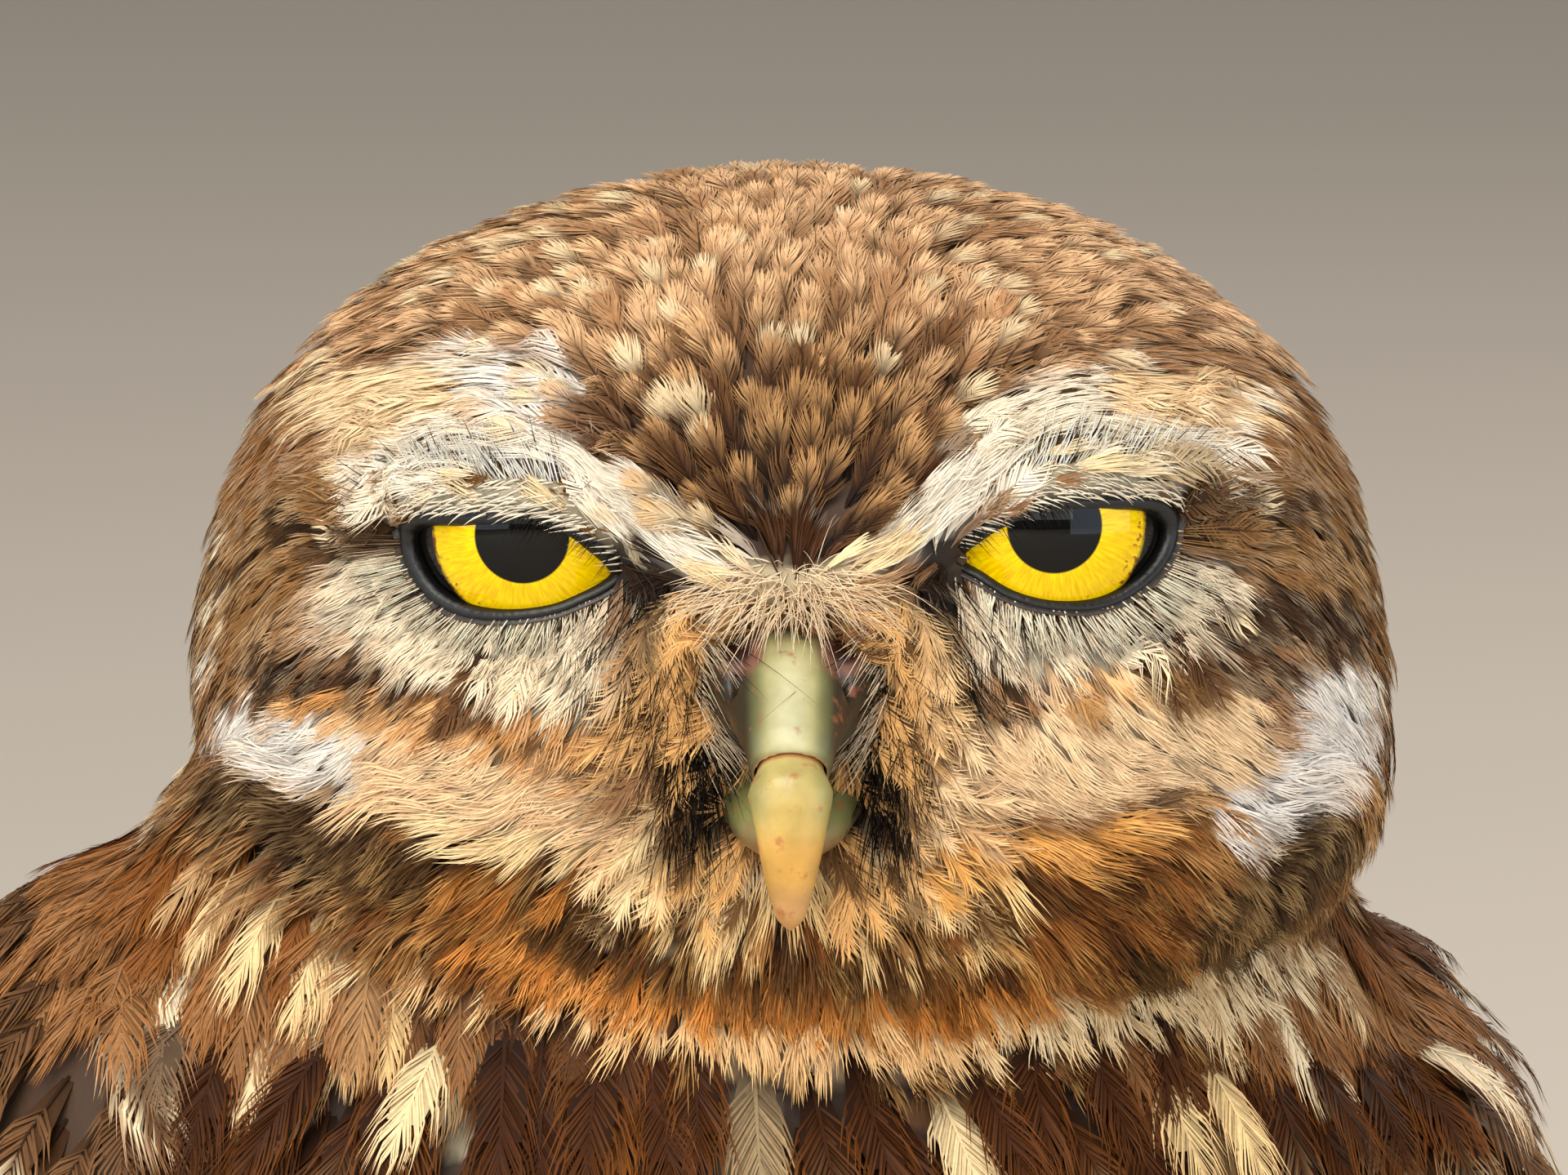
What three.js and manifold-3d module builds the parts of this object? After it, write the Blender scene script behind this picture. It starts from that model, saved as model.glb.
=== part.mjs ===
// A burrowing owl at life size, standing on both feet with its head turned to the viewer and sunk between
// its shoulders. Millimetres, +Z up, the face looking along -Y, the ground at z = 0. The surface of each
// solid is the outer surface of the plumage.
import * as THREE from "three";
import { mergeVertices } from "three/addons/utils/BufferGeometryUtils.js";
import Module from "manifold-3d";

const wasm = await Module();
wasm.setup();
const { lerp, clamp, degToRad, radToDeg } = THREE.MathUtils;

// Driving dimensions. The head's come from an iris 11.8 mm across, the body's from an owl 240 mm long.
const GAP = 0.3; // kept between pieces that touch
const EYE_HEIGHT = 186; // pupils above the ground
const PUPIL_SPACING = 31.8;
const EYEBALL_RADIUS = 8.4;
const EYE_TURN = degToRad(8); // each eye looks a little outwards
const PUPIL_AHEAD = 24.6; // of the middle of the head
const LID_THICKNESS = 0.9;
const HEAD_CENTRE_BELOW_EYES = 5;
const HEAD_HALF_WIDTH = 35.4;
const FACE_DEPTH = 27;
const NAPE_DEPTH = 31;
const CROWN_RISE = 24.7;
const CHIN_DROP = 27.4;
const BODY_TURN = degToRad(12); // of the body to the bird's left, under a head that faces ahead
const BODY_LEAN = degToRad(4); // right shoulder up
const BODY_ASIDE = -1.5; // of the body's middle to the right of the head's
const SHOULDER_HEIGHT = 160;
const BELLY_HEIGHT = 52;
const NECK_TOP = 181;
const NECK_CUT = 157;
const VANE_THICKNESS = 0.7;
const SHINGLE_STEP = 0.9; // from one vane of a tier to the next, through the tier
const ANKLE_HEIGHT = 47;
const FOOT_SPREAD = 17; // each foot's distance from the middle

const UMBER = "#5d4027";
const COLOURS = {
  crown: "#6f5136",
  body: "#6b4b30",
  wing: UMBER,
  leg: "#d8c4a0",
  toe: "#8b7a62",
  claw: "#2a2522",
  horn: "#c9b877",
  cere: "#aab08a",
  eye: "#f0c808",
};

const v3 = (x, y, z) => new THREE.Vector3(x, y, z);
const up = v3(0, 0, 1);
const side = v3(1, 0, 0);
const hill = (distance, width) => Math.exp(-((distance / width) ** 2));

// 0 where x is at low or beyond it, 1 at high or beyond it, and smooth between. low may be the larger.
function smooth(low, high, x) {
  const share = clamp((x - low) / (high - low), 0, 1);
  return share * share * (3 - 2 * share);
}

// A smooth function of one number, through a few pairs of number and value.
function graph(...pairs) {
  const slopes = pairs.map((pair, i) => {
    const [before, after] = [pairs[i - 1] ?? pair, pairs[i + 1] ?? pair];
    return (after[1] - before[1]) / (after[0] - before[0]);
  });
  return (x) => {
    const i = clamp(pairs.filter(([at]) => at <= x).length - 1, 0, pairs.length - 2);
    const [[x0, y0], [x1, y1]] = [pairs[i], pairs[i + 1]];
    const [t, run] = [clamp((x - x0) / (x1 - x0), 0, 1), x1 - x0];
    return (
      y0 * (1 - t) ** 2 * (1 + 2 * t) +
      slopes[i] * run * t * (1 - t) ** 2 +
      y1 * t * t * (3 - 2 * t) -
      slopes[i + 1] * run * t * t * (1 - t)
    );
  };
}

// 1 along the middle of a form, falling to 0 at both ends over the shares start and end, as round caps do.
function capped(t, start, end) {
  const from = Math.max(0, 1 - t / start, 1 - (1 - t) / end);
  return Math.sqrt(Math.max(0, 1 - from * from));
}

function solidOf(geometry) {
  geometry.deleteAttribute("normal");
  geometry.deleteAttribute("uv");
  const merged = mergeVertices(geometry, 1e-4);
  const triVerts = new Uint32Array(merged.index.array);
  const vertProperties = merged.attributes.position.array;
  const make = () => new wasm.Manifold(new wasm.Mesh({ numProp: 3, vertProperties, triVerts }));
  const solid = make();
  if (solid.volume() > 0) return solid;
  for (let i = 0; i < triVerts.length; i += 3)
    [triVerts[i + 1], triVerts[i + 2]] = [triVerts[i + 2], triVerts[i + 1]];
  return make();
}

// A sphere's surface moved to place(t, angle), where t runs from 0 at one pole to 1 at the other.
function rounded(rings, around, place) {
  const sphere = new THREE.SphereGeometry(1, around, rings);
  const { position, uv } = sphere.attributes;
  for (let i = 0; i < position.count; i++)
    position.setXYZ(i, ...place(1 - uv.getY(i), 2 * Math.PI * (uv.getX(i) % 1)).toArray());
  return solidOf(sphere);
}

// A round form along a curve. half(t) gives its half width, along side or level where there is none, and
// its half height. ridge is the share by which it is narrower on top and wider below, as an egg on end is.
function limb(curve, half, { rings = 12, around = 12, side = null, grow = 0, ridge = 0 } = {}) {
  return rounded(rings, around, (t, angle) => {
    const along = curve.getTangent(t);
    const across = side ? side.clone() : along.clone().cross(up).normalize();
    const over = across.clone().cross(along).normalize();
    const [width, height] = half(t);
    const swell = grow && t > 0 && t < 1 ? grow : 0;
    return curve
      .getPoint(t)
      .addScaledVector(along, t === 0 ? -grow : t === 1 ? grow : 0)
      .addScaledVector(across, (width * (1 - ridge * Math.sin(angle)) + swell) * Math.cos(angle))
      .addScaledVector(over, (height + swell) * Math.sin(angle));
  });
}

// A thin feather vane. place(s, w, h) is a point at s from root to tip, w from edge to edge and h through
// it, and both faces are split into triangles alike.
function vane(place, { along = 3, across = 2 } = {}) {
  const points = [];
  for (const h of [0.5, -0.5])
    for (let i = 0; i <= along; i++)
      for (let j = 0; j <= across; j++) points.push(place(i / along, (2 * j) / across - 1, h));
  const layer = (along + 1) * (across + 1);
  const at = (i, j, under) => i * (across + 1) + j + (under ? layer : 0);
  const index = [];
  for (let i = 0; i < along; i++)
    for (let j = 0; j < across; j++)
      for (const under of [false, true]) {
        const corners = [[i, j], [i, j + 1], [i + 1, j + 1], [i + 1, j]];
        const [a, b, c, d] = corners.map(([k, l]) => at(k, l, under));
        index.push(...(under ? [a, c, b, a, d, c] : [a, b, c, a, c, d]));
      }
  const rim = [];
  for (let j = 0; j < across; j++) rim.push([0, j]);
  for (let i = 0; i < along; i++) rim.push([i, across]);
  for (let j = across; j > 0; j--) rim.push([along, j]);
  for (let i = along; i > 0; i--) rim.push([i, 0]);
  rim.forEach(([i, j], n) => {
    const [k, l] = rim[(n + 1) % rim.length];
    const [a, b, c, d] = [at(i, j, true), at(k, l, true), at(k, l, false), at(i, j, false)];
    index.push(a, b, c, a, c, d);
  });
  return solidOf(new THREE.BufferGeometry().setFromPoints(points).setIndex(index));
}

const moved = (solid, matrix) => solid.transform(matrix.elements);
const mirrored = (solid) => moved(solid, new THREE.Matrix4().makeScale(-1, 1, 1));

// The largest closed surface of the first solid once the others are taken from it.
function fitted(solid, ...others) {
  const rest = others.reduce((left, other) => left.subtract(other), solid);
  return rest.decompose().reduce((most, piece) => (piece.volume() > most.volume() ? piece : most));
}

function fused(...solids) {
  return fitted(solids.reduce((all, solid) => all.add(solid)));
}

function meshOf(name, solid, colour, roughness = 0.85) {
  const { vertProperties, triVerts } = solid.getMesh();
  const geometry = new THREE.BufferGeometry()
    .setAttribute("position", new THREE.BufferAttribute(vertProperties, 3))
    .setIndex(new THREE.BufferAttribute(triVerts, 1));
  geometry.computeVertexNormals();
  const material = new THREE.MeshStandardMaterial({ color: colour, roughness, metalness: 0 });
  const mesh = new THREE.Mesh(geometry, material);
  mesh.name = name;
  return mesh;
}

// Head. Its own frame has its origin at the middle of the head, and everything on the face is placed from
// the point between the pupils.
const eyeLine = HEAD_CENTRE_BELOW_EYES;
const brow = new THREE.CatmullRomCurve3([
  v3(0, 0, eyeLine - 3.5),
  v3(6, 0, eyeLine - 1.2),
  v3(12, 0, eyeLine + 4.2),
  v3(20, 0, eyeLine + 5.6),
  v3(28, 0, eyeLine + 3.2),
]).getPoints(24);
const browDistance = (x, z) => Math.min(...brow.map((p) => Math.hypot(Math.abs(x) - p.x, z - p.z)));

// How far the face stands out of the plain head, at x and z seen from the front.
function faceRelief(x, z) {
  const aside = Math.abs(x);
  const below = z - eyeLine;
  const browRidge = 2.7 * hill(browDistance(x, z), 3.2);
  const eyeHollow = -1.6 * hill(Math.hypot(aside - PUPIL_SPACING / 2, below + 1.5), 7);
  const billFurrow = -2.4 * hill(Math.hypot(aside - 7, below + 13), 4.2);
  const cheek = 1.6 * hill(Math.hypot(aside - 19, below + 15), 8.5);
  const rim = 1.3 * hill(Math.hypot(aside / 1.18, below + 6) - 25.5, 3) * smooth(2, -8, below);
  const bib = 4.2 * hill(Math.hypot(x / 2.6, below + 27), 6);
  return browRidge + eyeHollow + billFurrow + cheek + rim + bib;
}

// The left eye's centre. The pupil is at the front of the ball.
const eyeCentre = v3(
  PUPIL_SPACING / 2 - EYEBALL_RADIUS * Math.sin(EYE_TURN),
  EYEBALL_RADIUS * Math.cos(EYE_TURN) - PUPIL_AHEAD,
  eyeLine,
);

// How far a line from the middle of the head runs before it leaves the lids, or 0 where it misses them.
function lidReach(toward) {
  const centre = v3(Math.sign(toward.x) * eyeCentre.x, eyeCentre.y, eyeCentre.z);
  const along = toward.dot(centre);
  const inside = along ** 2 - centre.lengthSq() + (EYEBALL_RADIUS + GAP + LID_THICKNESS) ** 2;
  return along > 0 && inside > 0 ? along + Math.sqrt(inside) : 0;
}

// A skull-shaped oval with the face worked on it. Its outline is squarer from the front than from the
// side, and the ruff swells it at the sides and behind.
function headSolid(grow = 0) {
  return rounded(30, 42, (t, angle) => {
    const polar = Math.PI * t ** 1.12;
    const aside = Math.sin(polar);
    const toward = v3(aside * Math.cos(angle), -Math.cos(polar), aside * Math.sin(angle));
    const low = smooth(0.1, -0.7, toward.z);
    const [frontPower, sidePower] = [2.05 + 1.45 * low, 2 + 0.6 * low];
    const share = (value, reach, power) => (Math.abs(value) / reach) ** power;
    const outline =
      share(toward.x, HEAD_HALF_WIDTH, frontPower) +
      share(toward.z, toward.z > 0 ? CROWN_RISE : CHIN_DROP, frontPower);
    const profile = share(toward.y, toward.y < 0 ? FACE_DEPTH : NAPE_DEPTH, sidePower);
    const radius = (outline ** (sidePower / frontPower) + profile) ** (-1 / sidePower);
    const relief = faceRelief(toward.x * radius, toward.z * radius) * smooth(0.1, -0.45, toward.y);
    const below = toward.z * radius - eyeLine;
    const ruff = 2.6 * hill(below + 17, 11) * smooth(-0.5, -0.1, toward.y);
    return toward.multiplyScalar(Math.max(radius + relief + ruff, lidReach(toward)) + grow);
  });
}

function ball(radius, detail = 8) {
  const sphere = new THREE.SphereGeometry(radius, 2 * detail, detail);
  sphere.translate(...eyeCentre.toArray());
  return solidOf(sphere);
}

// The slit between the left eye's lids, half closed by a flat upper lid, cut straight through to the front.
function lidOpening() {
  const [inner, outer] = [v3(-5.9, -2.2, 0), v3(6.7, 0.9, 0)];
  const outline = new THREE.Shape();
  outline.moveTo(inner.x, inner.y);
  outline.lineTo(-3.4, 0.4);
  outline.quadraticCurveTo(0, 1.5, outer.x, outer.y);
  outline.bezierCurveTo(6.2, -3.4, 1.6, -5.2, -1.2, -4.5);
  outline.quadraticCurveTo(-3.8, -3.9, inner.x, inner.y);
  const prism = new THREE.ExtrudeGeometry(outline, { depth: 24, bevelEnabled: false, curveSegments: 6 });
  prism.rotateX(Math.PI / 2);
  prism.translate(PUPIL_SPACING / 2, eyeCentre.y, eyeLine);
  return solidOf(prism);
}

// Bill. The upper mandible is a narrow ridge that leaves the face under the brows, hooks straight down and
// flares behind. A soft cere lies over its root with a nostril on each side, and the wider lower mandible
// closes up under it.
const billLine = new THREE.CatmullRomCurve3([
  v3(0, -17, eyeLine - 10.5),
  v3(0, -26.5, eyeLine - 10.6),
  v3(0, -32.6, eyeLine - 14.2),
  v3(0, -34.4, eyeLine - 18.6),
  v3(0, -33.6, eyeLine - 23),
]);
const BILL_RIDGE = 0.45;
const CERE_END = 0.55;
// The horn is slimmer under the cere and comes out from it flush.
function billSolid(grow = 0) {
  const places = [0, 0.3, 0.5, 0.5625, 0.72, 0.83, 0.92, 1];
  const along = (...values) => graph(...values.map((value, i) => [places[i], value]));
  const width = along(3, 2.1, 1.5, 2.15, 1.7, 1.25, 0.85, 0.5);
  const height = along(4, 3.4, 2.5, 3.15, 2.45, 1.8, 1.2, 0.7);
  const half = (t) => [width(t) * capped(t, 0.08, 0.06), height(t) * capped(t, 0.08, 0.06)];
  return limb(billLine, half, { rings: 16, around: 16, side, grow, ridge: BILL_RIDGE });
}
function cereSolid(grow = 0) {
  const stations = [0.03, 0.16, 0.29, 0.42, CERE_END];
  const line = new THREE.CatmullRomCurve3(stations.map((t) => billLine.getPoint(t)));
  const width = graph([0, 3.9], [0.25, 4.5], [0.43, 4.5], [0.57, 3.5], [0.71, 2.9], [0.86, 2.6], [1, 2.35]);
  const height = graph([0, 5.3], [0.43, 5.3], [0.57, 4.9], [0.71, 4.3], [0.86, 3.75], [1, 3.4]);
  const half = (t) => [width(t) * capped(t, 0.1, 0.03), height(t) * capped(t, 0.1, 0.03)];
  return limb(line, half, { rings: 12, around: 16, side, grow, ridge: BILL_RIDGE });
}
function lowerBillSolid(grow = 0) {
  const line = new THREE.CatmullRomCurve3([
    v3(0, -17, eyeLine - 16.1),
    v3(0, -25, eyeLine - 16.5),
    v3(0, -30.6, eyeLine - 18.4),
  ]);
  const half = (t) => [(5.6 - 2.9 * t) * capped(t, 0.1, 0.3), (2.6 - 0.9 * t) * capped(t, 0.1, 0.3)];
  return limb(line, half, { rings: 10, around: 14, side, grow });
}
const nostrilPlace = v3(3.2, -29.6, eyeLine - 8);
function nostril(sign) {
  const bore = new THREE.CylinderGeometry(0.9, 0.7, 5, 10);
  bore.rotateZ(-sign * 0.35);
  bore.rotateX(Math.PI / 2 - 0.15);
  bore.translate(sign * nostrilPlace.x, nostrilPlace.y, nostrilPlace.z);
  return solidOf(bore);
}

const socket = ball(EYEBALL_RADIUS + GAP);
const slit = lidOpening();
const head = fitted(
  headSolid(),
  socket,
  mirrored(socket),
  slit,
  mirrored(slit),
  billSolid(GAP),
  cereSolid(GAP),
  lowerBillSolid(GAP),
);
const upperBill = fitted(billSolid());
const cere = fitted(cereSolid(), billSolid(GAP), nostril(1), nostril(-1));
const lowerBill = fitted(lowerBillSolid(), billSolid(GAP), cereSolid(GAP));

// Body. Its own frame has its origin on the ground under the middle of the body, with the chest to -Y. The
// trunk is an upright egg whose sections are level ovals, deeper behind at the shoulders.
const trunkHeights = [0, 0.1, 0.26, 0.48, 0.66, 0.78, 0.88, 1];
const trunkGraph = (...values) => graph(...values.map((value, i) => [trunkHeights[i], value]));
const trunkWidth = trunkGraph(30, 37, 42.5, 47, 46.5, 44, 38, 30);
const trunkFront = trunkGraph(25, 30, 35, 38, 36, 30, 23, 14);
const trunkBack = trunkGraph(29, 32, 34, 35.5, 37.5, 38, 34, 24);
const trunkMiddle = (t) => 4 + 3 * smooth(0.5, 0, t);
function trunkSolid(grow = 0) {
  return rounded(18, 24, (t, angle) => {
    const z = lerp(BELLY_HEIGHT, NECK_TOP, t);
    const round = capped(t, 0.3, 0.12);
    const swell = t > 0 && t < 1 ? grow : 0;
    const depth = Math.sin(angle) < 0 ? trunkFront(t) : trunkBack(t);
    return v3(
      (trunkWidth(t) * round + swell) * Math.cos(angle),
      trunkMiddle(t) + (depth * round + swell) * Math.sin(angle),
      z + (t === 0 ? -grow : t === 1 ? grow : 0),
    );
  });
}

// Tail. Twelve rectrices in a shallow fan, the middle pair on top, out of a tapered rump.
const tailRoot = v3(0, 30, 92);
const tailTip = v3(0, 57, 21);
const TAIL_FEATHERS = 12;
const TAIL_VANE = 0.6;
const TAIL_STEP = 0.9; // from one feather to the next, through the fan
const TAIL_SPACING = 0.9; // from one shaft to the next, at the roots
const TAIL_FAN = degToRad(1.1); // between neighbours
const tailLine = new THREE.LineCurve3(tailRoot, tailTip);
const tailAlong = tailTip.clone().sub(tailRoot).normalize();
const tailOver = side.clone().cross(tailAlong).negate();
function rumpSolid(grow = 0) {
  const line = new THREE.LineCurve3(v3(0, 22, 104), v3(0, 46, 54));
  const half = (t) => [(17 - 5 * t) * capped(t, 0.3, 0.4), (8.5 - 4 * t) * capped(t, 0.3, 0.4)];
  return limb(line, half, { rings: 8, around: 12, side, grow });
}
function rectrix(n) {
  const place = n - (TAIL_FEATHERS - 1) / 2;
  const rank = Math.abs(place) / (TAIL_FEATHERS / 2);
  const fan = TAIL_FAN * place;
  const middle = Math.abs(place) < 1 && place > 0 ? TAIL_STEP : 0;
  const length = tailLine.getLength() * (1 - 0.05 * rank * rank);
  return vane((s, w, h) => {
    const halfWidth = (3 + 1.4 * smooth(0, 0.5, s)) * (s === 1 ? 0.45 : 1);
    const reach = s === 1 && w === 0 ? 1.015 : s;
    const down = 0.24 * length + reach * 0.76 * length;
    const spacing = TAIL_SPACING + down * Math.sin(TAIL_FAN);
    const slope = (w * halfWidth * Math.sign(place) * TAIL_STEP) / spacing;
    return tailRoot
      .clone()
      .addScaledVector(tailAlong, down * Math.cos(fan))
      .addScaledVector(side, down * Math.sin(fan) + place * TAIL_SPACING + w * halfWidth)
      .addScaledVector(tailOver, slope + middle + TAIL_VANE * h);
  });
}

// Folded wing. It lies on a former, a larger copy of the body that narrows to the wing's tip over the
// tail. A point on it is given by its height, its bearing from the chest round the left side, and its
// distance out.
const formerHeights = [24, 40, 60, 85, 110, 132, 148, 160, 170];
const formerGraph = (...values) => graph(...values.map((value, i) => [formerHeights[i], value]));
const formerWidth = formerGraph(13, 21, 32, 42, 47, 48.5, 46, 39.5, 30);
const formerDepth = formerGraph(63, 59, 51, 42.5, 39, 38.5, 37.5, 34.5, 29);
const formerMiddle = (z) => 6 + 2 * smooth(110, 40, z);
function onWing(z, bearing, out) {
  const round = degToRad(bearing);
  return v3(
    (formerWidth(z) + out) * Math.sin(round),
    formerMiddle(z) - (formerDepth(z) + out) * Math.cos(round),
    z,
  );
}
const leadingEdge = graph([85, 106], [110, 82], [132, 60], [148, 58], [162, 80]);
const innerEdge = graph([60, 172], [100, 168], [132, 158], [148, 148], [162, 116]);
const COVERT_TOP = 166;
const COVERT_BOTTOM = 84;
const COVERT_DEPTH = 4.8; // outside the former
const COVERT_INSET = 9; // inside it, so that the trunk cuts the inner side

// The covert body, a lens from the shoulder to two thirds of the way down, whose inner side lies on the
// trunk.
function covertBody() {
  return rounded(12, 14, (t, angle) => {
    const z = lerp(COVERT_TOP, COVERT_BOTTOM, t);
    const full = capped(t, 0.22, 0.2);
    const middle = (leadingEdge(z) + innerEdge(z)) / 2;
    const reach = ((innerEdge(z) - leadingEdge(z)) / 2) * full;
    const thick = Math.sin(angle) > 0 ? COVERT_DEPTH : COVERT_INSET;
    return onWing(z, middle + reach * Math.cos(angle), thick * full * Math.sin(angle));
  });
}

// One flight feather or covert, from a root to a tip, each given as height and bearing. Each lies a little
// turned, like a shingle, with its edge under the next feather nearer the back.
function quill(root, tip, { halfWidth, out, spacing }) {
  return vane((s, w, h) => {
    const z = lerp(root.z, tip.z, s === 1 && w === 0 ? 1.02 : s);
    const bearing = lerp(root.bearing, tip.bearing, s);
    const width = halfWidth * (0.75 + 0.25 * smooth(0, 0.4, s)) * (s === 1 ? 0.4 : 1);
    const arc = radToDeg((w * width) / formerWidth(Math.max(z, 60)));
    const turn = spacing ? (-w * width * SHINGLE_STEP) / lerp(...spacing, s) : 0;
    return onWing(z, bearing + arc, out + turn - 0.4 * w * w + VANE_THICKNESS * h);
  });
}

// A row of like feathers. first and last are its end feathers, each a root and a tip, and spacing is how
// far apart neighbours lie at their roots and tips. A row with a step in its form is stacked instead.
function tier(count, first, last, form) {
  const between = (a, b, share) => ({
    z: lerp(a.z, b.z, share),
    bearing: lerp(a.bearing, b.bearing, share),
  });
  return Array.from({ length: count }, (_, n) => {
    const share = n / (count - 1);
    const [root, tip] = ["root", "tip"].map((end) => between(first[end], last[end], share));
    return quill(root, tip, { ...form, out: form.out + (form.step ?? 0) * n });
  });
}
const at = (z, bearing) => ({ z, bearing });
const primaries = tier(
  5,
  { root: at(100, 94), tip: at(44, 146) },
  { root: at(96, 122), tip: at(25, 171) },
  { halfWidth: 6.4, out: -4, step: 1 },
);
const secondaries = tier(
  6,
  { root: at(108, 100), tip: at(66, 130) },
  { root: at(112, 158), tip: at(52, 166) },
  { halfWidth: 7.4, out: 2.1, spacing: [9.5, 5.5] },
);
const greaterCoverts = tier(
  5,
  { root: at(122, 80), tip: at(92, 102) },
  { root: at(124, 146), tip: at(80, 160) },
  { halfWidth: 8.2, out: 4.6, spacing: [12, 11] },
);

// Legs, each in a frame of its own with its origin on the ground under the ankle's outer side: a feathered
// thigh out of the belly, a shank and a foot of four toes, two of them ahead on uneven ground.
const ankle = v3(0, 13, ANKLE_HEIGHT);
const thighLine = new THREE.LineCurve3(v3(2, -2, 82), ankle.clone().add(v3(0, 1, -3)));
function thighSolid(grow = 0) {
  const taper = (wide, loss, t) => (wide - loss * t ** 0.8) * capped(t, 0.2, 0.1);
  const half = (t) => [taper(15.5, 10.5, t), taper(17, 11.6, t)];
  return limb(thighLine, half, { rings: 10, around: 14, side, grow });
}
const shankTop = ankle.clone().add(v3(0, 0, 4));
const shankLine = new THREE.CatmullRomCurve3([shankTop, v3(0, 9, 26), v3(0, 4, 5)]);
function shankSolid(grow = 0) {
  const half = (t) => [(4 - t) * capped(t, 0.1, 0.08), (4.2 - t) * capped(t, 0.1, 0.08)];
  return limb(shankLine, half, { rings: 12, around: 12, side, grow });
}
const footCentre = v3(0, 3.5, 3);
const TOES = [
  { name: "hind", bearing: 196, length: 12, thick: 2.3 },
  { name: "inner", bearing: -24, length: 18, thick: 2.5 },
  { name: "middle", bearing: 6, length: 22, thick: 2.6 },
  { name: "outer", bearing: 82, length: 18, thick: 2.4 },
];
const heading = (bearing) => {
  const round = degToRad(bearing);
  return v3(Math.sin(round), -Math.cos(round), 0);
};
function toeSolid({ bearing, length, thick }) {
  const ahead = heading(bearing);
  const line = new THREE.CatmullRomCurve3([
    footCentre,
    footCentre.clone().addScaledVector(ahead, length * 0.5).setZ(2.5),
    footCentre.clone().addScaledVector(ahead, length).setZ(2.2),
  ]);
  const half = (t) => {
    const pads = 1 + 0.1 * Math.cos(t * 6 * Math.PI);
    return [thick * pads * capped(t, 0.12, 0.1), (thick + 0.2) * pads * capped(t, 0.12, 0.1)];
  };
  return limb(line, half, { rings: 9, around: 8 });
}
function clawSolid({ bearing, length }, grow = 0) {
  const ahead = heading(bearing);
  const root = footCentre.clone().addScaledVector(ahead, length - 1.6).setZ(2.9);
  const line = new THREE.QuadraticBezierCurve3(
    root,
    root.clone().addScaledVector(ahead, 5.4).setZ(5.4),
    root.clone().addScaledVector(ahead, 9.4).setZ(0.75),
  );
  const round = (t) => capped(t, 0.12, 0.06);
  const half = (t) => [(1.45 - 1.1 * t) * round(t), (1.7 - 1.3 * t) * round(t)];
  return limb(line, half, { rings: 7, around: 6, grow });
}

// A flat block much wider than the bird, from the height z up.
function slab(z, height) {
  return solidOf(new THREE.BoxGeometry(200, 200, height).translate(0, 0, z + height / 2));
}
const underground = slab(-20, 20);
const footSolid = () => fused(knuckleSolid(), ...TOES.map((toe) => toeSolid(toe)));
function knuckleSolid() {
  const knuckle = new THREE.SphereGeometry(4.2, 10, 7);
  knuckle.scale(1, 1.15, 0.85).translate(0, 3.8, 3.3);
  return solidOf(knuckle);
}

// Assembly. The head and the body are groups, so that the one can face ahead while the other is turned.
const headGroup = new THREE.Group();
headGroup.position.set(0, 0, EYE_HEIGHT - HEAD_CENTRE_BELOW_EYES);
const bodyGroup = new THREE.Group();
bodyGroup.position.x = BODY_ASIDE;
bodyGroup.rotation.z = BODY_TURN;
const trunkGroup = new THREE.Group();
trunkGroup.position.z = SHOULDER_HEIGHT;
trunkGroup.rotation.y = BODY_LEAN;
const trunkFrame = new THREE.Group();
trunkFrame.position.z = -SHOULDER_HEIGHT;
trunkGroup.add(trunkFrame);
bodyGroup.add(trunkGroup);
const owl = new THREE.Group();
owl.add(headGroup, bodyGroup);
owl.updateMatrixWorld(true);

const toTrunk = trunkFrame.matrixWorld.clone().invert();
const headInTrunk = moved(headSolid(GAP), toTrunk.clone().multiply(headGroup.matrixWorld));

const trunk = trunkSolid();
const rumpGrown = rumpSolid(GAP);
const torso = fitted(trunk, headInTrunk, slab(NECK_CUT, 60), rumpGrown);
const neck = fitted(trunk, headInTrunk, slab(NECK_CUT + GAP - 160, 160));
const rectrices = Array.from({ length: TAIL_FEATHERS }, (_, n) => rectrix(n));
const tail = fused(rumpSolid(), ...rectrices);
const plumage = fused(covertBody(), ...primaries, ...secondaries, ...greaterCoverts);
const wing = fitted(plumage, trunkSolid(GAP), headInTrunk, rumpGrown);

trunkFrame.add(
  meshOf("torso", torso, COLOURS.body),
  meshOf("neck", neck, COLOURS.body),
  meshOf("tail", tail, COLOURS.wing),
  meshOf("wing_left", wing, COLOURS.wing),
  meshOf("wing_right", fitted(mirrored(wing), headInTrunk), COLOURS.wing),
);
headGroup.add(
  meshOf("head", head, COLOURS.crown),
  meshOf("bill_upper", upperBill, COLOURS.horn, 0.35),
  meshOf("cere", cere, COLOURS.cere, 0.45),
  meshOf("bill_lower", lowerBill, COLOURS.horn, 0.4),
  meshOf("eye_left", ball(EYEBALL_RADIUS), COLOURS.eye, 0.05),
  meshOf("eye_right", mirrored(ball(EYEBALL_RADIUS)), COLOURS.eye, 0.05),
);

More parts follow.
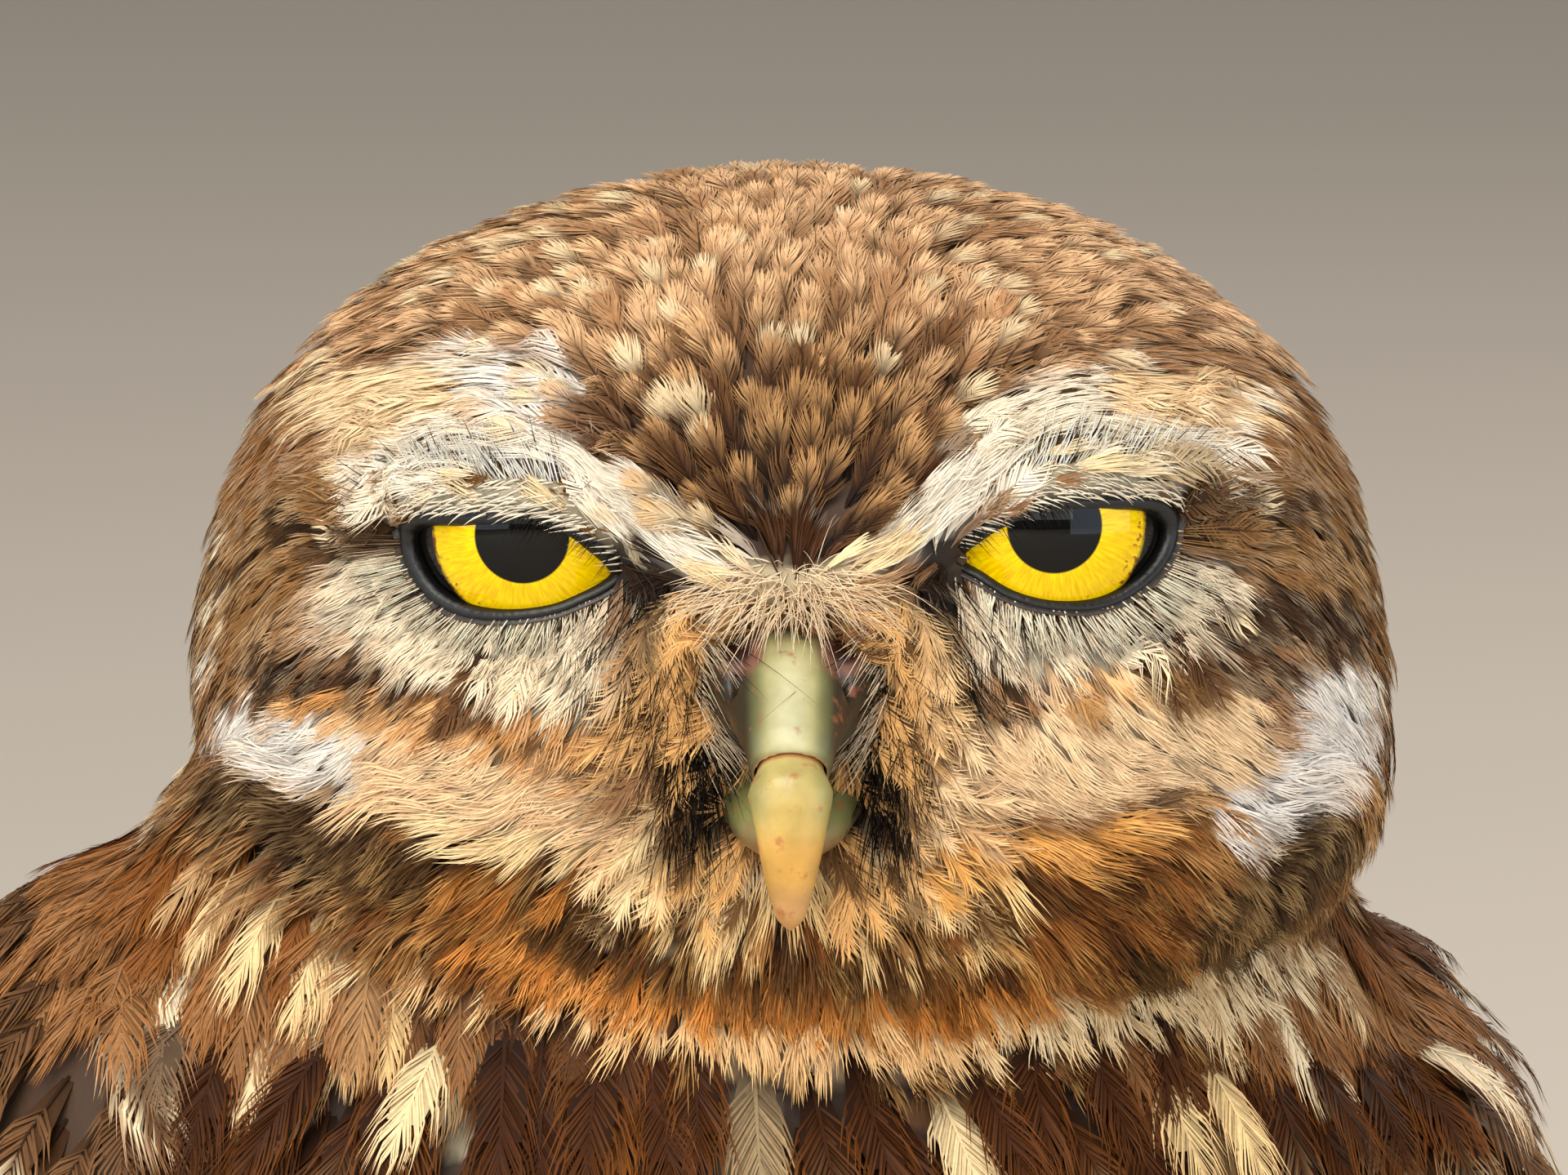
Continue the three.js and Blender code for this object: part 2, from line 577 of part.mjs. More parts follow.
for (const [name, sign] of [["left", 1], ["right", -1]]) {
  const leg = new THREE.Group();
  leg.position.x = sign * FOOT_SPREAD;
  bodyGroup.add(leg);
  leg.updateMatrixWorld(true);
  const facing = (solid) => (sign > 0 ? solid : mirrored(solid));
  const toLeg = leg.matrixWorld.clone().invert();
  const trunkInLeg = moved(trunkSolid(GAP), toLeg.clone().multiply(trunkFrame.matrixWorld));
  const foot = fitted(footSolid(), underground, shankSolid(GAP));
  leg.add(
    meshOf("thigh_" + name, fitted(facing(thighSolid()), trunkInLeg), COLOURS.leg),
    meshOf("shank_" + name, facing(fitted(shankSolid(), thighSolid(GAP), underground)), COLOURS.leg),
  );
  const claws = TOES.map((toe) => clawSolid(toe, GAP));
  leg.add(meshOf("foot_" + name, facing(fitted(foot, ...claws)), COLOURS.toe));
  for (const toe of TOES) {
    const claw = facing(fitted(clawSolid(toe), underground));
    leg.add(meshOf(`claw_${toe.name}_${name}`, claw, COLOURS.claw, 0.3));
  }
}

// The origin goes on the ground under the middle of the whole bird.
const box = new THREE.Box3().setFromObject(owl, true);
const middle = box.getCenter(v3(0, 0, 0));
owl.position.set(-middle.x, -middle.y, -box.min.z);

export default owl;
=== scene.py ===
import math

import bmesh
import bpy
import numpy as np
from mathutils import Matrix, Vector
from mathutils.bvhtree import BVHTree


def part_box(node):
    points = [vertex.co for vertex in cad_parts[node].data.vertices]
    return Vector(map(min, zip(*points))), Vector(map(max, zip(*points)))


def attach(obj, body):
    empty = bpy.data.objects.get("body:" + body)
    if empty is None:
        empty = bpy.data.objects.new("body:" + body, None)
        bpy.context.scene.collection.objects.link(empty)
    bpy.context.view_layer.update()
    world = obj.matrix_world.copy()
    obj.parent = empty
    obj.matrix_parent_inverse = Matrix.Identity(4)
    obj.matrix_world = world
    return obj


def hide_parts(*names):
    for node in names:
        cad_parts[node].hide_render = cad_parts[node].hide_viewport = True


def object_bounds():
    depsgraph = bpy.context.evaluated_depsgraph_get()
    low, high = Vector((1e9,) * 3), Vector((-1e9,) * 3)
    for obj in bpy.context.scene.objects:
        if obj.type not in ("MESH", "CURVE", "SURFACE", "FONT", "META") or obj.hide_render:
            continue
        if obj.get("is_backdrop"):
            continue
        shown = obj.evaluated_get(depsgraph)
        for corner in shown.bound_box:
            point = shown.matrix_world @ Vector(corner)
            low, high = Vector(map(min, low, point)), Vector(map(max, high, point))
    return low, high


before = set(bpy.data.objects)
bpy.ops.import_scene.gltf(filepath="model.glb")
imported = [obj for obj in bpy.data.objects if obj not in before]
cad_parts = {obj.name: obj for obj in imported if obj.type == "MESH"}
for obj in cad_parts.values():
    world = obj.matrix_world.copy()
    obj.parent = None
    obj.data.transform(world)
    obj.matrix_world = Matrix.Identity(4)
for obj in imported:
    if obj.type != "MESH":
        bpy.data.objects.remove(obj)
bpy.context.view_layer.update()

# Viewpoint. The picture is taken close in front of the face, a little above eye level and through a long
# lens. Places on the face are given as millimetres across and up from the point between the pupils.
MM = 0.001
DISTANCE = 1500.0
PICTURE_WIDTH = 93.2  # at the eyes
SENSOR_WIDTH = 36.0
VIEW_TILT = math.radians(6)
AIM = (-0.39, -3.33)  # the middle of the picture
ACROSS = np.array([1.0, 0.0, 0.0])
AHEAD = np.array([0.0, math.cos(VIEW_TILT), -math.sin(VIEW_TILT)])
OVER = np.array([0.0, math.sin(VIEW_TILT), math.cos(VIEW_TILT)])


def box_of(node):
    """The lowest and highest corner of a node, in millimetres."""
    low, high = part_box(node)
    return np.array(low) / MM, np.array(high) / MM


EYE_BOXES = {side: box_of("eye_" + side) for side in ("left", "right")}
EYE_CENTRES = {side: (low + high) / 2 for side, (low, high) in EYE_BOXES.items()}
EYE_RADIUS = float(EYE_BOXES["left"][1][0] - EYE_BOXES["left"][0][0]) / 2
between_eyes = (EYE_CENTRES["left"] + EYE_CENTRES["right"]) / 2
between_eyes[1] = EYE_BOXES["left"][0][1]
aim = between_eyes + ACROSS * AIM[0] + OVER * AIM[1]
viewpoint = aim - AHEAD * DISTANCE


def face_place(points):
    """How far across and up from between the pupils each point is seen."""
    offset = points - viewpoint
    scale = DISTANCE / (offset @ AHEAD)
    return (offset @ ACROSS) * scale + AIM[0], (offset @ OVER) * scale + AIM[1]


def sight_line(x, z):
    """The direction from the viewpoint to a place on the face."""
    toward = between_eyes + ACROSS * x + OVER * z - viewpoint
    return toward / np.linalg.norm(toward)


camera_data = bpy.data.cameras.new("camera")
camera_data.sensor_width = SENSOR_WIDTH
camera_data.lens = SENSOR_WIDTH * DISTANCE / PICTURE_WIDTH
camera_data.clip_start = 0.05
camera = bpy.data.objects.new("camera", camera_data)
camera.location = viewpoint * MM
camera.rotation_euler = (math.radians(90) - VIEW_TILT, 0, 0)
bpy.context.collection.objects.link(camera)
bpy.context.scene.camera = camera


# Floor and light. A plain pale painted floor, a large soft light above and in front, a wide one behind the
# viewer, two bluish windows whose reflections lie along the top of the pupils, and a pale room all round.
FLOOR_SIZE = 8.0
FLOOR_DARK, FLOOR_PALE = "#d3c9bd", "#d9cfc3"


def linear(colour):
    """An sRGB hex colour as linear red, green and blue."""
    values = [int(colour[i : i + 2], 16) / 255 for i in (1, 3, 5)]
    return np.array([v / 12.92 if v <= 0.04045 else ((v + 0.055) / 1.055) ** 2.4 for v in values])


def rgba(colour):
    return (*linear(colour), 1.0)


def add_node(tree, kind, settings=None, **inputs):
    """Adds a node. settings are its own properties, inputs the values or links of its sockets."""
    node = tree.nodes.new("ShaderNode" + kind)
    for key, value in (settings or {}).items():
        setattr(node, key, value)
    for key, value in inputs.items():
        name = key.replace("_", " ")
        socket = node.inputs[int(key[1:])] if key[0] == "i" and key[1:].isdigit() else node.inputs[name]
        if isinstance(value, bpy.types.NodeSocket):
            tree.links.new(value, socket)
        else:
            socket.default_value = value
    return node


def new_material(name, **inputs):
    """A material with only the main shader, whose inputs are given. Returns it with its tree and shader."""
    material = bpy.data.materials.new(name)
    material.use_nodes = True
    tree = material.node_tree
    shader = tree.nodes["Principled BSDF"]
    for key, value in inputs.items():
        shader.inputs[key.replace("_", " ")].default_value = value
    return material, tree, shader


def end_colours(node, first, last):
    """Sets both ends of a colour ramp."""
    for end, colour in zip(node.color_ramp.elements, (first, last)):
        end.color = rgba(colour)


def link_piece(name, mesh, *materials):
    """A mesh as an object of the scene."""
    for material in materials:
        mesh.materials.append(material)
    piece = bpy.data.objects.new(name, mesh)
    bpy.context.collection.objects.link(piece)
    return piece


floor_shape = bmesh.new()
bmesh.ops.create_grid(floor_shape, x_segments=1, y_segments=1, size=FLOOR_SIZE / 2)
floor_mesh = bpy.data.meshes.new("floor")
floor_shape.to_mesh(floor_mesh)
floor_shape.free()
painted_floor, tree, shader = new_material("painted floor", Roughness=0.8)
places = add_node(tree, "TexCoord")
mottle = add_node(tree, "TexNoise", Vector=places.outputs["Object"], Scale=3.0, Detail=3.0)
tone = add_node(tree, "ValToRGB", Fac=mottle.outputs["Fac"])
end_colours(tone, FLOOR_DARK, FLOOR_PALE)
tree.links.new(tone.outputs["Color"], shader.inputs["Base Color"])
floor = link_piece("floor", floor_mesh, painted_floor)
floor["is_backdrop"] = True


def soft_light(name, place, size, power, colour):
    """A rectangular light aimed at the head, which the camera doesn't see, in metres and watts."""
    data = bpy.data.lights.new(name, "AREA")
    data.shape = "RECTANGLE"
    data.size, data.size_y = size
    data.energy = power
    data.color = colour
    light = bpy.data.objects.new(name, data)
    light.location = place
    light.rotation_euler = (Vector(between_eyes * MM) - Vector(place)).to_track_quat("-Z", "Y").to_euler()
    light.visible_camera = False
    bpy.context.collection.objects.link(light)


soft_light("key", (-0.4, -1.25, 1.55), (1.4, 1.4), 43, (1.0, 0.95, 0.86))
soft_light("front", (0.1, -2.6, 0.8), (2.6, 0.9), 16, (1.0, 0.97, 0.92))
soft_light("back", (0.9, 1.4, 1.3), (1.0, 1.0), 16, (1.0, 0.95, 0.88))
for side in (-1, 1):
    place = (1.02 * side, -0.66, 0.28 - 0.06 * side)
    soft_light(f"window_{side + 1}", place, (1.5, 0.5), 5, (0.7, 0.83, 1.0))
world = bpy.data.worlds.new("pale room")
bpy.context.scene.world = world
world.use_nodes = True
background = world.node_tree.nodes["Background"]
background.inputs["Color"].default_value = (1.0, 0.96, 0.91, 1.0)
background.inputs["Strength"].default_value = 0.26
bpy.context.scene.view_settings.view_transform = "Standard"


# Skin. One closed hide over the head, neck, trunk, folded wings, rump and legs. It lies under the plumage by
# the coat's depth, and carries the same markings, darkened as painted shade, so that no bare line shows
# between the feathers.
SKIN_NODES = ["head", "neck", "torso", "thigh_left", "thigh_right", "shank_left", "shank_right"]
SKIN_VOXEL, SKIN_CALM = 1.0, 4  # fineness, and rounds of smoothing
WING_SKIN_LOW = 90.0
RUMP_SKIN_LOW = 76.0
COAT_DEPTH = {
    "head": 1.5, "neck": 3.0, "torso": 3.4, "thigh_left": 2.2, "thigh_right": 2.2, "shank_left": 0.8,
    "shank_right": 0.8, "wing_left": 1.8, "wing_right": 1.8, "tail": 2.4,
}
# The opening of the lids, as places on the face.
LID_OPENINGS = {
    "right": [
        (-22.4, 0.55), (-19.8, 0.65), (-17.0, 0.6), (-14.7, 0.5), (-12.4, -0.5), (-10.3, -2.6), (-13.1, -4.3),
        (-15.5, -4.9), (-18.0, -5.0), (-19.9, -4.6), (-21.5, -3.6), (-22.5, -2.1), (-22.9, -0.6),
    ],
    "left": [
        (9.7, -1.6), (11.3, -0.2), (13.2, 0.7), (15.0, 1.35), (18.1, 1.6), (21.0, 1.6), (22.4, 1.1),
        (22.7, -0.4),
        (21.8, -2.2), (20.0, -3.7), (18.0, -4.4), (15.5, -4.4), (13.2, -3.8), (11.3, -2.7),
    ],
}


def unit(vectors):
    return vectors / np.maximum(np.linalg.norm(vectors, axis=-1, keepdims=True), 1e-9)


def ramp(low, high, value):
    """0 at low or beyond it, 1 at high or beyond it, smooth between. low may be the larger."""
    share = np.clip((value - low) / (high - low), 0, 1)
    return share * share * (3 - 2 * share)


def closed_line(points, count):
    """A smooth closed line through a few points, as count points."""
    points = np.array(points, float)
    n = len(points)
    s = np.linspace(0, n, count, endpoint=False)
    i = s.astype(int)
    t = (s - i)[:, None]
    a, b, c, d = (points[(i + k) % n] for k in (-1, 0, 1, 2))
    return 0.5 * (2 * b + (c - a) * t + (2 * a - 5 * b + 4 * c - d) * t**2 + (3 * b - a - 3 * c + d) * t**3)


OPENINGS = {side: closed_line(points, 150) for side, points in LID_OPENINGS.items()}


def line_distance(x, z, line, closed=False):
    """The distance of each place on the face to a line of points."""
    ends = np.roll(line, -1, axis=0) if closed else line[1:]
    starts = line if closed else line[:-1]
    best = np.full(x.shape, 1e9)
    for (ax, az), (bx, bz) in zip(starts, ends):
        dx, dz = bx - ax, bz - az
        t = np.clip(((x - ax) * dx + (z - az) * dz) / max(dx * dx + dz * dz, 1e-9), 0, 1)
        best = np.minimum(best, np.hypot(x - ax - t * dx, z - az - t * dz))
    return best


def within(x, z, line):
    """Whether each place on the face is inside a closed line."""
    inside = np.zeros(x.shape, bool)
    for (ax, az), (bx, bz) in zip(line, np.roll(line, -1, axis=0)):
        crosses = (az > z) != (bz > z)
        at = (bx - ax) * (z - az) / (bz - az if bz != az else 1e-9) + ax
        inside ^= crosses & (x < at)
    return inside


def outside_lids(x, z):
    """How far outside the nearer opening of the lids each place is, less than 0 inside it."""
    best = np.full(x.shape, 1e9)
    for line in OPENINGS.values():
        gap = line_distance(x, z, line, closed=True)
        best = np.minimum(best, np.where(within(x, z, line), -gap, gap))
    return best


LID_FLATNESS = 0.93


def lid_surface(x, z, lift):
    """Points of the surface on which the nearer eye's lids lie, at places on the face, and its normals. It is
    the eyeball's, flattened a little at the sides, and the points stand off it by lift."""
    x, z = np.asarray(x, float), np.asarray(z, float)
    centres = np.where((x > 0)[:, None], EYE_CENTRES["left"], EYE_CENTRES["right"])
    middle_x, middle_z = face_place(centres)
    dx, dz = x - middle_x, z - middle_z
    gap = np.maximum(np.hypot(dx, dz), 1e-6)
    radius = EYE_RADIUS + 0.2
    reach = np.minimum(LID_FLATNESS * gap, 0.96 * radius)
    height = np.sqrt(radius**2 - reach**2)
    across, over = dx / gap * reach / radius, dz / gap * reach / radius
    normals = ACROSS * across[:, None] + OVER * over[:, None] - AHEAD * (height / radius)[:, None]
    toward = unit(between_eyes + ACROSS * x[:, None] + OVER * z[:, None] - viewpoint)
    far = ((centres - viewpoint) @ AHEAD - height) / (toward @ AHEAD)
    return viewpoint + toward * far[:, None] + normals * np.reshape(lift, (-1, 1)), normals


def node_shape(name, keep_above=None):
    """A merged copy of a node, or the convex hull of what lies above a height."""
    shape = bmesh.new()
    shape.from_mesh(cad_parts[name].data)
    bmesh.ops.remove_doubles(shape, verts=shape.verts, dist=1e-6)
    if keep_above is not None:
        low = [v for v in shape.verts if v.co.z < keep_above * MM]
        bmesh.ops.delete(shape, geom=low, context="VERTS")
        hull = bmesh.ops.convex_hull(shape, input=shape.verts)
        kept = {e for e in hull["geom"] if isinstance(e, bmesh.types.BMFace)}
        bmesh.ops.delete(shape, geom=[f for f in shape.faces if f not in kept], context="FACES")
        bmesh.ops.delete(shape, geom=[v for v in shape.verts if not v.link_faces], context="VERTS")
    return shape


def evened(name, shapes, voxel, rounds):
    """Shapes joined to one even closed mesh, smoothed a little."""
    mesh = bpy.data.meshes.new(name)
    joined = bmesh.new()
    for shape in shapes:
        shape.to_mesh(mesh)
        joined.from_mesh(mesh)
        shape.free()
    joined.to_mesh(mesh)
    joined.free()
    mesh.materials.clear()
    piece = link_piece(name, mesh)
    even = piece.modifiers.new("even", "REMESH")
    even.mode = "VOXEL"
    even.voxel_size = voxel * MM
    calm = piece.modifiers.new("calm", "SMOOTH")
    calm.factor = 0.5
    calm.iterations = rounds
    bpy.context.view_layer.update()
    made = bpy.data.meshes.new_from_object(piece.evaluated_get(bpy.context.evaluated_depsgraph_get()))
    piece.modifiers.clear()
    piece.data = made
    made.shade_smooth()
    return piece


def table(items, key, width, kind=float):
    """One property of a mesh's items, a row for each."""
    flat = np.empty(len(items) * width, kind)
    items.foreach_get(key, flat)
    return flat.reshape(-1, width)


def vertex_table(mesh):
    """The places of a mesh's vertices in millimetres, and their normals."""
    return table(mesh.vertices, "co", 3) / MM, table(mesh.vertex_normals, "vector", 3)


def triangle_table(mesh):
    mesh.calc_loop_triangles()
    return table(mesh.loop_triangles, "vertices", 3, np.int32)


def move_vertices(mesh, places):
    mesh.vertices.foreach_set("co", (places * MM).ravel())
    mesh.update()


hide = evened(
    "skin",
    [node_shape(name) for name in SKIN_NODES]
    + [node_shape("wing_left", WING_SKIN_LOW), node_shape("wing_right", WING_SKIN_LOW)]
    + [node_shape("tail", RUMP_SKIN_LOW)],
    SKIN_VOXEL,
    SKIN_CALM,
)

# Which node each place of the hide belongs to, so that each kind of feather grows where it should.
NODE_ORDER = SKIN_NODES + ["wing_left", "wing_right", "tail"]
NECK, TORSO = NODE_ORDER.index("neck"), NODE_ORDER.index("torso")
node_points, node_faces, face_node = [], [], []
for rank, name in enumerate(NODE_ORDER):
    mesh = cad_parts[name].data
    node_faces += (triangle_table(mesh) + len(node_points)).tolist()
    node_points += vertex_table(mesh)[0].tolist()
    face_node += [rank] * (len(node_faces) - len(face_node))
node_tree = BVHTree.FromPolygons(node_points, node_faces)
face_node = np.array(face_node)


def nearest_node(points):
    found = [node_tree.find_nearest(p)[2] for p in points.tolist()]
    return face_node[np.array(found)]


skin_points, skin_normals = vertex_table(hide.data)
skin_node = nearest_node(skin_points)
depth = np.array([COAT_DEPTH[name] for name in NODE_ORDER])[skin_node]
edges = table(hide.data.edges, "vertices", 2, np.int32)


def calmed(values, rounds):
    """Values at the hide's vertices, each averaged with its neighbours."""
    count = np.bincount(edges.ravel(), minlength=len(values)) + 1
    for _ in range(rounds):
        total = values.copy()
        np.add.at(total, edges[:, 0], values[edges[:, 1]])
        np.add.at(total, edges[:, 1], values[edges[:, 0]])
        values = total / count
    return values


# The coat is thin over the face, and thinner still round the lids and the bill.
FACE_DEPTH, THINNER, THINNEST = 0.95, 0.6, 0.3
BILL_MIDDLE, FACE_MIDDLE = -12.5, -6.0
depth = calmed(depth.astype(float), 12)
x, z = face_place(skin_points)
on_head = (skin_node == 0) & (skin_points[:, 1] < between_eyes[1] + 30)
lid_gap = outside_lids(x, z)
bill_gap = np.hypot(x, (z - BILL_MIDDLE) / 1.5)
face_depth = FACE_DEPTH - THINNER * ramp(4, 1.5, lid_gap) - THINNER * ramp(7.5, 5, bill_gap)
face_share = ramp(27, 21, np.hypot(x, z - FACE_MIDDLE)) * on_head
depth = depth * (1 - face_share) + np.maximum(face_depth, THINNEST) * face_share
skin_points = skin_points - skin_normals * depth[:, None]
# Round the eyes the hide comes up to the lids' rims, and passes under them into the socket.
for side, centre in EYE_CENTRES.items():
    out = skin_points - centre
    beside = (np.linalg.norm(out, axis=1) < EYE_RADIUS + 6) & ((x > 0) == (side == "left"))
    near = np.nonzero(on_head & beside)[0]
    lids = lid_surface(x[near], z[near], 0.1)[0]
    forward = np.maximum((skin_points[near] - lids) @ AHEAD, -1.2)
    skin_points[near] -= AHEAD * (forward * ramp(4.5, 2.4, lid_gap[near]))[:, None]
    out = skin_points[near] - centre
    reach = np.linalg.norm(out, axis=1)
    inside = ramp(0.5, -0.2, lid_gap[near])
    sunk = np.maximum(reach, EYE_RADIUS + 0.35) * (1 - inside) + (EYE_RADIUS - 0.9) * inside
    skin_points[near] = centre + out * (sunk / reach)[:, None]
move_vertices(hide.data, skin_points)
skin_points, skin_normals = vertex_table(hide.data)
skin_triangles = triangle_table(hide.data)
skin_tree = BVHTree.FromPolygons(skin_points.tolist(), skin_triangles.tolist())

